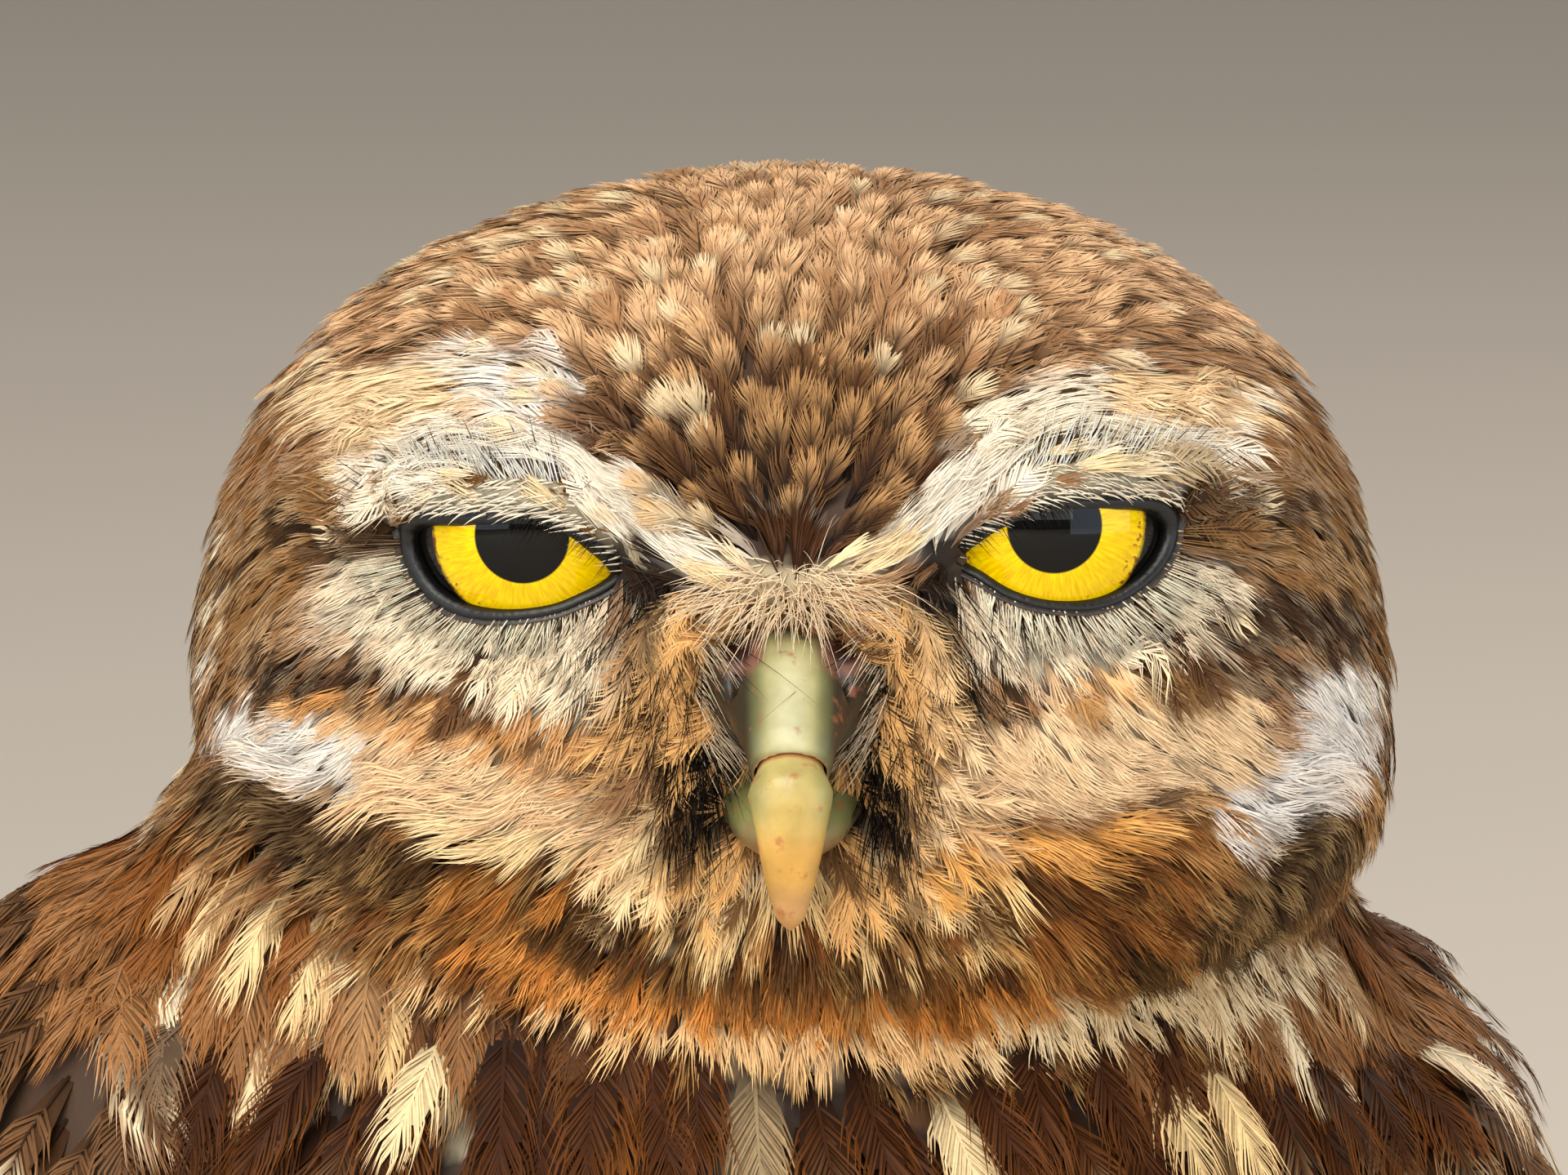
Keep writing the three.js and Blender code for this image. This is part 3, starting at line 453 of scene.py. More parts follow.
# Markings of the head, painted in order: colour, half width and line, as places on the face.
GROUND = "#94704f"
MARKINGS = [
    ("#94704f", 16.0, [(-17.9, 21.9), (-0.4, 22.9), (18.5, 20.9)]),
    ("#5f3c1e", 5.8, [(-8.2, 4.4), (-0.4, 7.3), (7.4, 6.4)]),
    ("#452810", 3.6, [(-0.4, 2.5), (-0.1, -1.4)]),
    ("#5f3f26", 2.2, [(-13.5, 6.7), (-9.6, 4.4), (-5.7, 0.5)]),
    ("#5f3f26", 1.9, [(10.3, 7.3), (7.4, 3.9), (4.0, 0.5)]),
    # the temples and the sides of the face
    ("#8d6339", 5.3, [(-34.4, 8.8), (-36.6, 0.5), (-37.8, -8.2)]),
    ("#8d6339", 5.3, [(32.6, 10.2), (37.0, 0.5), (38.0, -12.1)]),
    ("#8c6840", 3.6, [(-25.6, 0.5), (-30.5, -0.4), (-33.4, -3.3)]),
    ("#8c6840", 3.6, [(24.9, 2.0), (29.7, 1.5), (33.1, -1.4)]),
    # the face, cheeks, ruff, chin and chest
    ("#efe0c6", 2.9, [(-25.6, -4.3), (-19.8, -6.9), (-13.0, -8.6)]),
    ("#efe0c6", 2.7, [(13.2, -6.3), (19.5, -5.8), (25.3, -4.8)]),
    ("#7d5028", 4.6, [(-35.3, -20.8), (-23.7, -24.2), (-0.4, -27.1), (22.9, -24.7), (35.0, -20.8)]),
    ("#3e220c", 6.8, [(-37.3, -38.4), (-17.9, -38.4), (-0.4, -38.8), (21.0, -37.9), (40.4, -37.4)]),
    # the rims of the upper lids
    ("#cfbb95", 1.2, [(-24.5, 1.6), (-20.3, 2.9), (-16.0, 3.1), (-12.5, 2.2), (-9.5, 0.2)]),
    ("#cfbb95", 1.2, [(8.0, 0.2), (11.0, 2.6), (15.0, 4.2), (20.0, 4.4), (24.5, 3.2)]),
    # the brows, upper patch, buff outer part, and the lower line that meets its fellow above the bill
    ("#fcf6ec", 1.9, [(-14.6, 8.9), (-17.4, 9.2), (-21.2, 8.6)]),
    ("#e4cba4", 1.5, [(-21.2, 8.6), (-25.0, 8.6), (-28.6, 7.6)]),
    ("#e2c8a0", 1.5, [(-20.2, 6.6), (-22.8, 5.6), (-26.0, 3.9)]),
    ("#faf1e0", 1.6, [(-24.6, 3.0), (-21.2, 5.0), (-17.4, 5.2), (-13.6, 4.3), (-10.4, 2.6), (-8.1, 0.7),
                      (-5.7, -1.6)]),
    ("#efd9ae", 1.1, [(-5.7, -1.7), (-3.3, -2.7), (-0.4, -3.2)]),
    ("#faf1e0", 1.5, [(6.4, -0.7), (10.5, 2.5), (14.1, 5.1), (17.6, 6.6), (21.5, 6.6), (26.2, 6.4)]),
    ("#efd9ae", 1.1, [(0.4, -3.4), (2.8, -3.0), (4.5, -1.9), (6.7, -0.4)]),
    ("#f8ecd6", 1.8, [(12.0, 6.0), (16.1, 7.8), (20.5, 8.3)]),
    ("#dfc39a", 1.5, [(20.5, 8.3), (24.4, 7.8), (28.1, 7.3)]),
    ("#f3ead8", 0.7, [(27.8, 7.7), (28.5, 7.4)]),
    ("#eee2cb", 0.7, [(-22.7, 2.3), (-24.7, 1.6), (-26.4, 0.5)]),
    ("#eee2cb", 0.7, [(21.4, 3.2), (23.9, 3.7), (26.3, 3.0)]),
    ("#5b432d", 1.0, [(-25.6, -0.2), (-29.0, -0.7)]),
    ("#5b432d", 1.0, [(24.2, 1.5), (30.7, 1.4)]),
    # dark inner corners of the eyes, tan lores, dark hollows beside the bill
    ("#2f2118", 1.5, [(-9.6, -1.9), (-8.2, -3.8), (-7.7, -6.0)]),
    ("#2f2118", 1.4, [(9.1, -1.2), (9.1, -3.3), (8.8, -5.5)]),
    ("#cba778", 1.8, [(-5.2, -5.8), (-6.7, -8.7), (-8.6, -12.1)]),
    ("#d5b488", 1.9, [(5.4, -5.3), (7.4, -8.2), (9.8, -11.6)]),
    ("#e7c99a", 1.0, [(-3.1, -9.7), (-4.8, -12.6)]),
    ("#e7c99a", 1.0, [(4.0, -9.2), (5.9, -12.1)]),
    ("#20201f", 1.3, [(-4.0, -12.8), (-5.2, -15.5)]),
    ("#20201f", 1.4, [(4.5, -11.6), (6.7, -14.8)]),
    # under the eyes
    ("#c9a06c", 2.0, [(-13.5, -13.5), (-10.1, -11.6), (-6.7, -9.7)]),
    ("#ecdcc0", 1.9, [(-18.3, -9.7), (-13.5, -10.1)]),
    ("#4b3524", 1.3, [(-30.5, -8.9), (-27.6, -9.4), (-24.2, -9.7)]),
    ("#5b3a1e", 1.1, [(-24.2, -10.5), (-18.0, -11.4)]),
    ("#c88f4e", 0.5, [(-23.7, -12.3), (-19.8, -12.7), (-17.4, -12.3)]),
    ("#4b3524", 1.5, [(26.3, -5.8), (29.7, -5.3), (33.1, -5.8)]),
    ("#553922", 1.0, [(20.5, -9.0), (24.9, -9.0), (29.8, -8.7)]),
    ("#cf9f62", 1.3, [(18.1, -10.4), (21.5, -10.5), (24.9, -10.2)]),
    # cheek bands, sweeping down to the chin
    ("#c08e56", 1.3, [(-30.0, -11.1), (-20.2, -12.4), (-12.4, -13.6)]),
    ("#e3c49c", 2.5, [(-28.5, -13.9), (-20.2, -15.7), (-12.9, -17.9), (-7.0, -20.0)]),
    ("#cdb78e", 1.9, [(-8.0, -19.0), (-4.6, -21.3), (-1.0, -22.6), (3.6, -21.6), (6.6, -18.8)]),
    ("#fdf7ee", 1.5, [(-32.9, -12.4), (-30.4, -13.0), (-27.0, -14.4)]),
    ("#e2c6a0", 2.7, [(6.2, -18.6), (12.3, -14.9), (18.9, -12.9), (26.4, -12.3)]),
    ("#fffaf4", 2.1, [(32.5, -10.4), (32.9, -13.1), (30.7, -15.5), (27.7, -17.4)]),
    ("#cf9c5a", 1.3, [(9.2, -20.8), (16.7, -19.2), (23.7, -17.9)]),
    ("#7a4a1d", 0.6, [(19.8, -19.4), (23.6, -18.4), (27.2, -16.8)]),
    # ruff and throat, in rows with dark grooves between them
    ("#a8743c", 1.7, [(-24.0, -19.4), (-16.5, -21.4), (-9.0, -24.0)]),
    ("#3a2413", 2.2, [(-33.8, -16.2), (-29.0, -19.0), (-23.6, -20.8)]),
    ("#f0d8ac", 0.55, [(-22.4, -17.6), (-15.8, -19.6), (-9.6, -21.7), (-3.1, -23.2)]),
    ("#3f240e", 0.6, [(-22.2, -19.1), (-15.3, -21.1), (-9.5, -23.1), (-3.1, -24.3)]),
    ("#eed3a3", 0.5, [(-13.5, -23.4), (-8.0, -25.0), (-2.6, -25.3)]),
    ("#3a200c", 0.75, [(-16.5, -23.6), (-8.5, -26.4), (-2.6, -26.6), (4.2, -27.0), (8.6, -26.7)]),
    ("#35200f", 2.3, [(31.6, -18.6), (29.0, -21.8), (26.4, -24.2)]),
    ("#4b2c10", 0.8, [(2.5, -24.9), (9.2, -23.2), (14.9, -22.5), (21.1, -20.9)]),
    ("#e9cd9c", 0.5, [(2.0, -23.9), (8.4, -22.4), (13.8, -21.6)]),
    ("#e9cd9c", 0.6, [(5.0, -26.0), (9.5, -25.4), (13.9, -24.6)]),
    ("#35200f", 1.3, [(21.2, -26.4), (23.6, -27.8)]),
    ("#4b2a10", 0.7, [(6.5, -28.0), (11.0, -27.2), (14.5, -25.9)]),
    ("#bd8244", 1.2, [(-19.7, -25.0), (-12.4, -27.6), (-5.6, -29.2), (1.7, -29.9), (8.6, -29.7),
                      (15.6, -28.0)]),
    ("#6b4526", 1.0, [(-34.0, -20.5), (-28.0, -23.6), (-22.0, -25.6)]),
    ("#ddc8a2", 1.1, [(-35.6, -22.6), (-32.4, -25.0), (-29.5, -27.0), (-25.0, -27.9)]),
    ("#e6c69a", 1.0, [(-24.0, -28.3), (-12.4, -30.3), (-5.6, -31.2), (1.0, -31.7), (8.6, -31.7),
                      (14.0, -30.6)]),
    ("#ead9b8", 1.2, [(13.0, -30.9), (18.9, -29.5), (25.5, -28.0)]),
    ("#ead9b8", 1.5, [(23.7, -29.0), (29.0, -27.1), (32.5, -26.2)]),
    # chest
    ("#8a5a2a", 0.8, [(-14.0, -34.0), (-10.5, -35.6)]),
    ("#8a5a2a", 0.7, [(6.0, -35.0), (10.5, -34.2)]),
    ("#e6d6b4", 1.5, [(-22.6, -35.2), (-19.4, -35.8)]),
    ("#e9d9ba", 1.3, [(-31.0, -33.6), (-29.9, -34.6)]),
    ("#cbb28a", 0.9, [(-26.2, -30.6), (-25.2, -31.0)]),
    ("#dcc79e", 1.6, [(24.6, -36.0), (26.6, -36.8)]),
    ("#e6d6b4", 1.0, [(10.2, -36.4), (10.8, -37.8)]),
    ("#f0e6d0", 0.9, [(29.9, -30.8), (32.9, -33.4)]),
    ("#c2b294", 1.3, [(-2.3, -34.6), (-2.8, -38.0)]),
    ("#f2e8d4", 1.0, [(-37.3, -28.6), (-37.9, -30.2)]),
    ("#f2e8d4", 0.9, [(-36.6, -32.8), (-37.4, -34.6)]),
    ("#f2e8d4", 0.9, [(-40.6, -31.4), (-41.4, -33.4)]),
    ("#f2e8d4", 0.8, [(40.4, -31.4), (42.6, -35.0)]),
    ("#efe2c8", 0.8, [(-38.3, -16.4), (-38.0, -17.6)]),
    # the rims of the head
    ("#efe2c8", 0.7, [(-34.3, 8.8), (-33.2, 9.5)]),
    ("#efe2c8", 0.7, [(-35.1, 4.4), (-34.0, 5.0)]),
    ("#efe2c8", 0.8, [(-35.7, 0.0), (-34.5, 0.0)]),
    ("#efe2c8", 0.8, [(-36.0, -4.3), (-34.9, -4.7)]),
    ("#f2e8d4", 0.8, [(-36.2, -7.8), (-35.0, -8.3)]),
    ("#efe2c8", 0.8, [(32.6, 6.4), (34.0, 5.4)]),
    ("#efe2c8", 0.8, [(34.6, 0.5), (35.8, 0.0)]),
    ("#efe2c8", 0.8, [(35.5, -4.3), (36.6, -4.8)]),
    ("#f2e8d4", 0.9, [(35.5, -10.1), (36.7, -10.6)]),
]
BACK_OF_HEAD = "#79562f"
BODY_COLOURS = {
    "neck": "#5a3618", "torso": "#cbb592", "thigh_left": "#e0cfae", "thigh_right": "#e0cfae",
    "shank_left": "#dcccb0", "shank_right": "#dcccb0", "wing_left": "#64472f", "wing_right": "#64472f",
    "tail": "#7a5a3c",
}
BELLY, BREAST, BACK = "#e2d3b4", "#472a12", "#664526"
TRUNK_MIDDLE = sum(box_of("torso")) / 2
BODY_TURN = math.radians(12)


def bearing_of(points):
    """Degrees round the trunk from the chest, whichever way."""
    out = points - TRUNK_MIDDLE
    front = -out[:, 1] * math.cos(BODY_TURN) + out[:, 0] * math.sin(BODY_TURN)
    across = out[:, 0] * math.cos(BODY_TURN) + out[:, 1] * math.sin(BODY_TURN)
    return np.degrees(np.arctan2(np.abs(across), front))


def blended(base, other, share):
    return base * (1 - share[..., None]) + other * share[..., None]


def markings(points, normals, node):
    """The colour of the plumage at each point, linear."""
    x, z = face_place(points)
    colour = np.tile(linear(GROUND), (len(points), 1))
    for shade, half, line in MARKINGS:
        colour = blended(colour, linear(shade), ramp(half * 1.35, half * 0.7,
                                                     line_distance(x, z, np.array(line))))
    facing = ramp(0.02, 0.3, -(normals @ AHEAD))
    colour = blended(linear(BACK_OF_HEAD), colour, facing)
    front = ramp(118, 92, bearing_of(points))
    breast = ramp(108, 134, points[:, 2])
    trunk = blended(linear(BACK), blended(linear(BELLY), linear(BREAST), breast), front)
    body = np.array([linear(BODY_COLOURS.get(name, GROUND)) for name in NODE_ORDER])[node]
    body = np.where((node == TORSO)[:, None], trunk, body)
    throat = ((node == NECK) | (node == TORSO)) & (z > -40)
    body = blended(body, colour, throat * ramp(-42, -38, z) * facing)
    return np.where((node == 0)[:, None], colour, body)


def paint_vertices(mesh, colours):
    """Linear colours as the colour attribute of the mesh's points."""
    layer = mesh.color_attributes.new("plumage", "FLOAT_COLOR", "POINT")
    full = np.ones((len(colours), 4))
    full[:, :3] = colours
    layer.data.foreach_set("color", full.ravel())


def dress(piece, slot, *nodes):
    """Attaches a piece to the root, so that it holds its pose, and hides the nodes it stands for. Its slot, the
    kind of surface, is not used.
    """
    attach(piece, "root")
    if nodes:
        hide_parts(*nodes)


# Matt skin, darker than the feathers over it, so that the gaps between them read as shade.
hide_skin, tree, shader = new_material("bird skin", Roughness=0.75)
shade = add_node(tree, "Attribute", {"attribute_name": "plumage"})
places = add_node(tree, "TexCoord")
grain = add_node(tree, "TexNoise", Vector=places.outputs["Object"], Scale=1500.0, Detail=2.0)
relief = add_node(tree, "Bump", Height=grain.outputs["Fac"], Strength=0.4, Distance=0.0002)
tree.links.new(shade.outputs["Color"], shader.inputs["Base Color"])
tree.links.new(relief.outputs["Normal"], shader.inputs["Normal"])
# the hide's markings at 0.45 of their brightness, as painted shade seen between the feathers
paint_vertices(hide.data, markings(skin_points, skin_normals, skin_node) * 0.45)
hide.data.materials.append(hide_skin)
dress(hide, "head_plumage", *SKIN_NODES)


# Crown. Short overlapping contour feathers, rooted in the skin in no strict order, each a shaft with separate
# flat barbs. They point up and back from the forehead. Brown keratin with buff tips and scattered cream spots.
CROWDING = 5.0  # trials for each root that there is room for


def scatter(region, spacing, seed):
    """Roots on the hide no closer than the spacing, where region says that there may be one. Returns points,
    normals and nodes."""
    draw = np.random.default_rng(seed)
    corners = skin_points[skin_triangles]
    owner = skin_node[skin_triangles[:, 0]]
    may = np.nonzero(region(corners.mean(axis=1), skin_normals[skin_triangles[:, 0]], owner))[0]
    first, second, third = (corners[may, k] for k in range(3))
    area = np.linalg.norm(np.cross(second - first, third - first), axis=1) / 2
    limit = spacing * spacing
    chance = area / limit
    picks = may[draw.choice(len(may), int(chance.sum() * CROWDING), p=chance / chance.sum())]
    a, b = draw.random((2, len(picks)))
    turned = a + b > 1
    a, b = np.where(turned, 1 - a, a), np.where(turned, 1 - b, b)
    weight = np.stack([1 - a - b, a, b], axis=1)
    points = np.einsum("nk,nkc->nc", weight, corners[picks])
    normals = unit(np.einsum("nk,nkc->nc", weight, skin_normals[skin_triangles[picks]]))
    steps = [(i, j, k) for i in (-1, 0, 1) for j in (-1, 0, 1) for k in (-1, 0, 1)]
    taken, kept = {}, []
    cells = np.floor(points / spacing).astype(int).tolist()
    for n, ((x, y, z), (i, j, k)) in enumerate(zip(points.tolist(), cells)):
        near = (q for di, dj, dk in steps for q in taken.get((i + di, j + dj, k + dk), ()))
        if all((q[0] - x) ** 2 + (q[1] - y) ** 2 + (q[2] - z) ** 2 >= limit for q in near):
            taken.setdefault((i, j, k), []).append((x, y, z))
            kept.append(n)
    return points[kept], normals[kept], owner[picks][kept]


def on_skin(points):
    """The nearest points of the hide, with its normals there."""
    found = [skin_tree.find_nearest(p) for p in points.tolist()]
    places = np.array([f[0] for f in found])
    corner = skin_triangles[np.array([f[2] for f in found])]
    return places, unit(skin_normals[corner].mean(axis=1))


def ribbon(n, count=2):
    """The triangles of a ribbon of a few quads, whose points lie in pairs from number n on."""
    pairs = range(n, n + 2 * count, 2)
    return [corners for k in pairs for corners in ((k, k + 1, k + 3), (k, k + 3, k + 2))]


def plume(seed, length, half_width, barbs, bare=0.25, spread=(55, 16), curl=10, blade=0.6, twist=22,
          camber=0.2, under=0.45, ragged=0.08, profile=(0.75, 1.0, 0.5)):
    """One feather lying flat, in millimetres: a shaft, an under vane, and barbs on both sides as ribbons of
    three triangles. spread is the barbs' angle from the shaft at its foot and at its tip."""
    draw = np.random.default_rng(seed)
    places, looks, faces = [], [], []
    shaft_end = length * 0.86

    def add(points, tone, part, ends):
        start = len(places)
        places.extend(points)
        looks.extend([(tone, part, end) for end in ends])
        return start

    for sign in (-1, 1):
        for i in range(barbs):
            u = (i + draw.uniform(0, 0.6)) / barbs
            foot = (bare + (1 - bare) * u) * shaft_end
            angle = math.radians(spread[0] + (spread[1] - spread[0]) * u**1.1 + draw.uniform(-4, 4))
            bow = math.radians(curl)
            size = np.interp(u, [0, 0.45, 1], profile) * half_width / math.sin(math.radians(max(spread[0],
                                                                                                25)))
            size *= 1 + draw.uniform(-ragged, ragged)
            size = min(size, (length * 1.04 - foot) / max(math.cos(angle - bow), 0.3))
            gap = shaft_end * (1 - bare) / barbs * math.sin(angle) + 0.02
            wide = blade * gap / 2 + 0.03
            tilt = math.radians(draw.uniform(-twist, twist))
            lift = draw.uniform(-0.04, 0.1) * half_width
            rows = []
            for share, bend, keep in ((0.0, bow, 1.0), (0.55, bow * 0.5, 0.95)):
                x = sign * math.sin(angle + bend) * size * share
                y = foot + math.cos(angle + bend) * size * share
                side = wide * keep
                nx, ny = math.cos(angle), -math.sin(angle)
                h = -camber * (x / half_width) ** 2 * half_width + lift * share
                rows.append((x + sign * nx * side, y + ny * side, h + side * math.sin(tilt)))
                rows.append((x - sign * nx * side, y - ny * side, h - side * math.sin(tilt)))
            x = sign * math.sin(angle - bow * 0.5) * size
            rows.append((x, foot + math.cos(angle - bow * 0.5) * size,
                         -camber * (x / half_width) ** 2 * half_width + lift))
            n = add(rows, draw.uniform(-1, 1), 0, (0, 0, 0.55, 0.55, 1))
            barb = ribbon(n, 1) + [(n + 2, n + 3, n + 4)]
            faces += barb if sign > 0 else [(a, c, b) for a, b, c in barb]
    thick = 0.04 + 0.008 * length
    n = add([(s * thick * k, y * shaft_end, 0.04 + 0.02 * half_width)
             for y, k in ((0, 1), (0.5, 0.7), (1.0, 0.25)) for s in (-1, 1)], 0.0, 1, [0] * 6)
    faces += ribbon(n)
    wide = max(under, 0.02) * half_width
    n = add([(s * k * wide, y * length, h) for y, k, h in ((0, 0.3, -0.06), (0.4, 1, -0.1), (0.68, 0.8, -0.12))
             for s in (-1, 1)], 0.0, 2, [0] * 6)
    faces += ribbon(n)
    return feather_form(places, looks, faces, length, half_width)


def tuft(seed, length, half_width, count, width=0.11, foot=0.4, stray=0.12):
    """One downy feather of the face, in millimetres: long hair-like barbs that part from its lower half, each
    a thin ribbon of five triangles."""
    draw = np.random.default_rng(seed)
    places, looks, faces = [], [], []
    for i in range(count):
        low = draw.uniform(0, foot) * length
        lean = 2 * (i + draw.uniform(0, 1)) / count - 1
        high = length * draw.uniform(0.68, 1.04) * (1 - 0.12 * lean * lean)
        sway = draw.normal(0, stray) * half_width
        lift = draw.uniform(0, 0.16) * length * 0.5
        tilt = math.radians(draw.uniform(-45, 45))
        n = len(places)
        for t, keep in ((0, 0.8), (0.35, 1.0), (0.7, 0.75), (1, 0)):
            x = lean * half_width * (1 - (1 - t) ** 1.7) + sway * t * t
            y = low + (high - low) * t
            h = lift * t * t
            side = keep * width / 2
            rim = [1, -1] if keep else [0]
            places += [(x + s * side * math.cos(tilt), y, h + s * side * math.sin(tilt)) for s in rim]
        tone = draw.uniform(-1, 1)
        looks += [(tone, 0, end) for end in (0, 0, 0.35, 0.35, 0.7, 0.7, 1)]
        faces += ribbon(n) + [(n + 4, n + 5, n + 6)]
    return feather_form(places, looks, faces, length, half_width)


def feather_form(places, looks, faces, length, half_width):
    """A feather's mesh with what its colours are chosen by: each point's tone, role and share of its barb."""
    places, looks = np.array(places), np.array(looks, float)
    return {
        "x": places[:, 0], "y": places[:, 1], "h": places[:, 2], "tone": looks[:, 0], "role": looks[:, 1],
        "end": looks[:, 2], "faces": np.array(faces), "length": length, "half": half_width,
        "along": np.clip(places[:, 1] / length, 0, 1), "across": np.clip(np.abs(places[:, 0]) / half_width, 0,
                                                                         1),
    }


HEAD_MIDDLE = sum(box_of("head")) / 2
HEAD_LOW = 156.0  # where the unwrap passes from the head to the body
PATCH = 0.003  # the size of a feather on the unwrap


def cubic(t):
    """Weights of four points spaced evenly along a curve."""
    a, b, c, d = t, t - 1 / 3, t - 2 / 3, t - 1
    return np.stack([-4.5 * b * c * d, 13.5 * a * c * d, -13.5 * a * b * d, 4.5 * a * b * c], axis=1)


def grow(name, roots, flow, length, rise, plumes, paint, material, seed, steer=7.0, vary=0.12, stray=0.4):
    """Feathers from roots, as one mesh. flow gives their direction, rise how far their tips stand off the hide
    and paint their colours. Each feather has its patch of the unwrap at its root's place."""
    points, normals, nodes = roots
    count = len(points)
    draw = np.random.default_rng(seed)
    size = length * (1 + draw.uniform(-vary, vary, count))
    lift = rise * (1 + draw.uniform(-0.25, 0.25, count))
    yaw = np.radians(draw.normal(0, steer, count))[:, None]
    place, normal = points, normals
    spine, ups = [place], [normal]
    for _ in range(3):
        toward = flow(place, normal)
        toward = unit(toward - normal * np.sum(toward * normal, axis=1, keepdims=True))
        toward = toward * np.cos(yaw) + np.cross(normal, toward) * np.sin(yaw)
        place, normal = on_skin(place + toward * size[:, None] / 3)
        spine.append(place)
        ups.append(normal)
    ups = np.stack(ups, axis=1)
    heights = np.array([0.0, 0.45, 0.8, 1.0])[None, :, None] * lift[:, None, None]
    spine = np.stack(spine, axis=1) + ups * heights
    kinds = draw.integers(0, len(plumes), count)
    luck = draw.random((count, 4))
    # a feather that would pass over an eye is left out
    stations = spine.reshape(-1, 3)
    over_eye = (outside_lids(*face_place(stations)) < 0.12) & (stations[:, 1] < HEAD_MIDDLE[1])
    kinds[(nodes == 0) & over_eye.reshape(-1, 4).any(axis=1)] = -1
    at_mid = spine[:, 2]
    mark = markings(at_mid + draw.normal(0, stray, at_mid.shape), ups[:, 2], nodes)
    all_places, all_faces, all_colours, all_uvs, start = [], [], [], [], 0
    root_uv = unwrap(points)
    for k, form in enumerate(plumes):
        mine = np.nonzero(kinds == k)[0]
        if not len(mine):
            continue
        t = np.clip(form["y"] / form["length"], -0.05, 1.08)
        weights = cubic(t)
        slope = (cubic(t + 0.02) - cubic(t - 0.02)) / 0.04
        line = np.einsum("mk,nkc->nmc", weights, spine[mine])
        along = unit(np.einsum("mk,nkc->nmc", slope, spine[mine]))
        up = unit(np.einsum("mk,nkc->nmc", weights, ups[mine]))
        side = unit(np.cross(along, up))
        up = np.cross(side, along)
        scale = (size[mine] / form["length"])[:, None, None]
        places = line + side * form["x"][None, :, None] * scale + up * form["h"][None, :, None] * scale
        colours = paint(mark[mine], form, luck[mine], at_mid[mine])
        patch = np.stack([form["x"] / form["half"] / 2, form["along"] - 0.5], axis=1)
        uv = root_uv[mine][:, None, :] + PATCH * patch[None]
        m = len(form["x"])
        faces = form["faces"][None] + (start + np.arange(len(mine)) * m)[:, None, None]
        start += len(mine) * m
        all_places.append(places.reshape(-1, 3))
        all_faces.append(faces.reshape(-1, 3))
        all_colours.append(colours.reshape(-1, 3))
        all_uvs.append(uv.reshape(-1, 2))
    piece = mesh_piece(name, np.concatenate(all_places), np.concatenate(all_faces), material)
    add_uvs(piece.data, np.concatenate(all_uvs), np.concatenate(all_faces))
    paint_vertices(piece.data, np.concatenate(all_colours))
    return piece


def mesh_piece(name, places, faces, material):
    """A mesh of triangles from arrays, as an object."""
    mesh = bpy.data.meshes.new(name)
    mesh.vertices.add(len(places))
    mesh.vertices.foreach_set("co", (places * MM).ravel().astype(np.float32))
    mesh.loops.add(faces.size)
    mesh.loops.foreach_set("vertex_index", faces.ravel().astype(np.int32))
    mesh.polygons.add(len(faces))
    mesh.polygons.foreach_set("loop_start", np.arange(len(faces), dtype=np.int32) * 3)
    mesh.update(calc_edges=True)
    mesh.shade_smooth()
    return link_piece(name, mesh, material)


def add_uvs(mesh, uvs, faces):
    layer = mesh.uv_layers.new(name="OFBake")
    layer.data.foreach_set("uv", np.clip(uvs[faces.ravel()], 0.001, 0.999).ravel())


def unwrap(points):
    """The place of each root on the hide's unwrap: the head by longitude and latitude in the upper half, the
    rest by bearing and height in the lower."""
    out = points - HEAD_MIDDLE
    head = points[:, 2] > HEAD_LOW
    u = np.where(head, np.arctan2(out[:, 0], out[:, 1]), np.arctan2(out[:, 0],
                                                                    out[:, 1] - 8)) / (2 * np.pi) + 0.5
    latitude = np.arctan2(out[:, 2], np.hypot(out[:, 0], out[:, 1])) / np.pi + 0.5
    v = np.where(head, 0.5 + 0.48 * latitude, 0.49 * points[:, 2] / 170)
    return np.stack([u, v], axis=1)


# The lie of the coat: place on the face and direction there, for the left side, which the right side mirrors.
FACE_FLOW = [
    (0, -2, 0, 1), (0, 6, 0, 1), (0, 14, 0, 1), (5, 4, 0.35, 1), (8, 10, 0.45, 1), (16, 14, 0.7, 0.8),
    (26, 13, 0.9, 0.45), (33, 8, 0.9, -0.1), (3, -2.6, 0.85, 0.55), (1.5, -5, 0.5, -0.85),
    (4, -5.5, 0.7, -0.7), (6, -0.8, 0.75, 0.65), (10, 2.4, 0.8, 0.6),
    (14, 5.5, 0.95, 0.35), (20, 7, 1, 0.1), (27, 6.5, 1, -0.1), (26, 1, 1, -0.05), (33, 0, 0.9, -0.45),
    (26, -4, 0.9, -0.5), (22, -7, 0.6, -0.8), (16, -7, 0.3, -1), (11, -6, 0.15, -1), (7, -5, 0.3, -1),
    (5, -9, 0.45, -0.9), (8, -12, 0.6, -0.8), (16, -12, 0.6, -0.8), (24, -11, 0.85, -0.5), (32, -9, 0.9, -0.5),
    (5, -16, 0.6, -0.8), (12, -16.5, 0.95, -0.3), (20, -16, 1, -0.12), (30, -14, 1, -0.15),
    (3, -21, 0.35, -0.9),
    (12, -21, 0.6, -0.8), (22, -20, 0.75, -0.65), (32, -19, 0.75, -0.65), (0, -28, 0, -1),
    (10, -28, 0.3, -0.95),
    (20, -27, 0.5, -0.87), (31, -25, 0.6, -0.8), (0, -37, 0, -1), (25, -36, 0.25, -1), (36, -30, 0.4, -0.9),
]
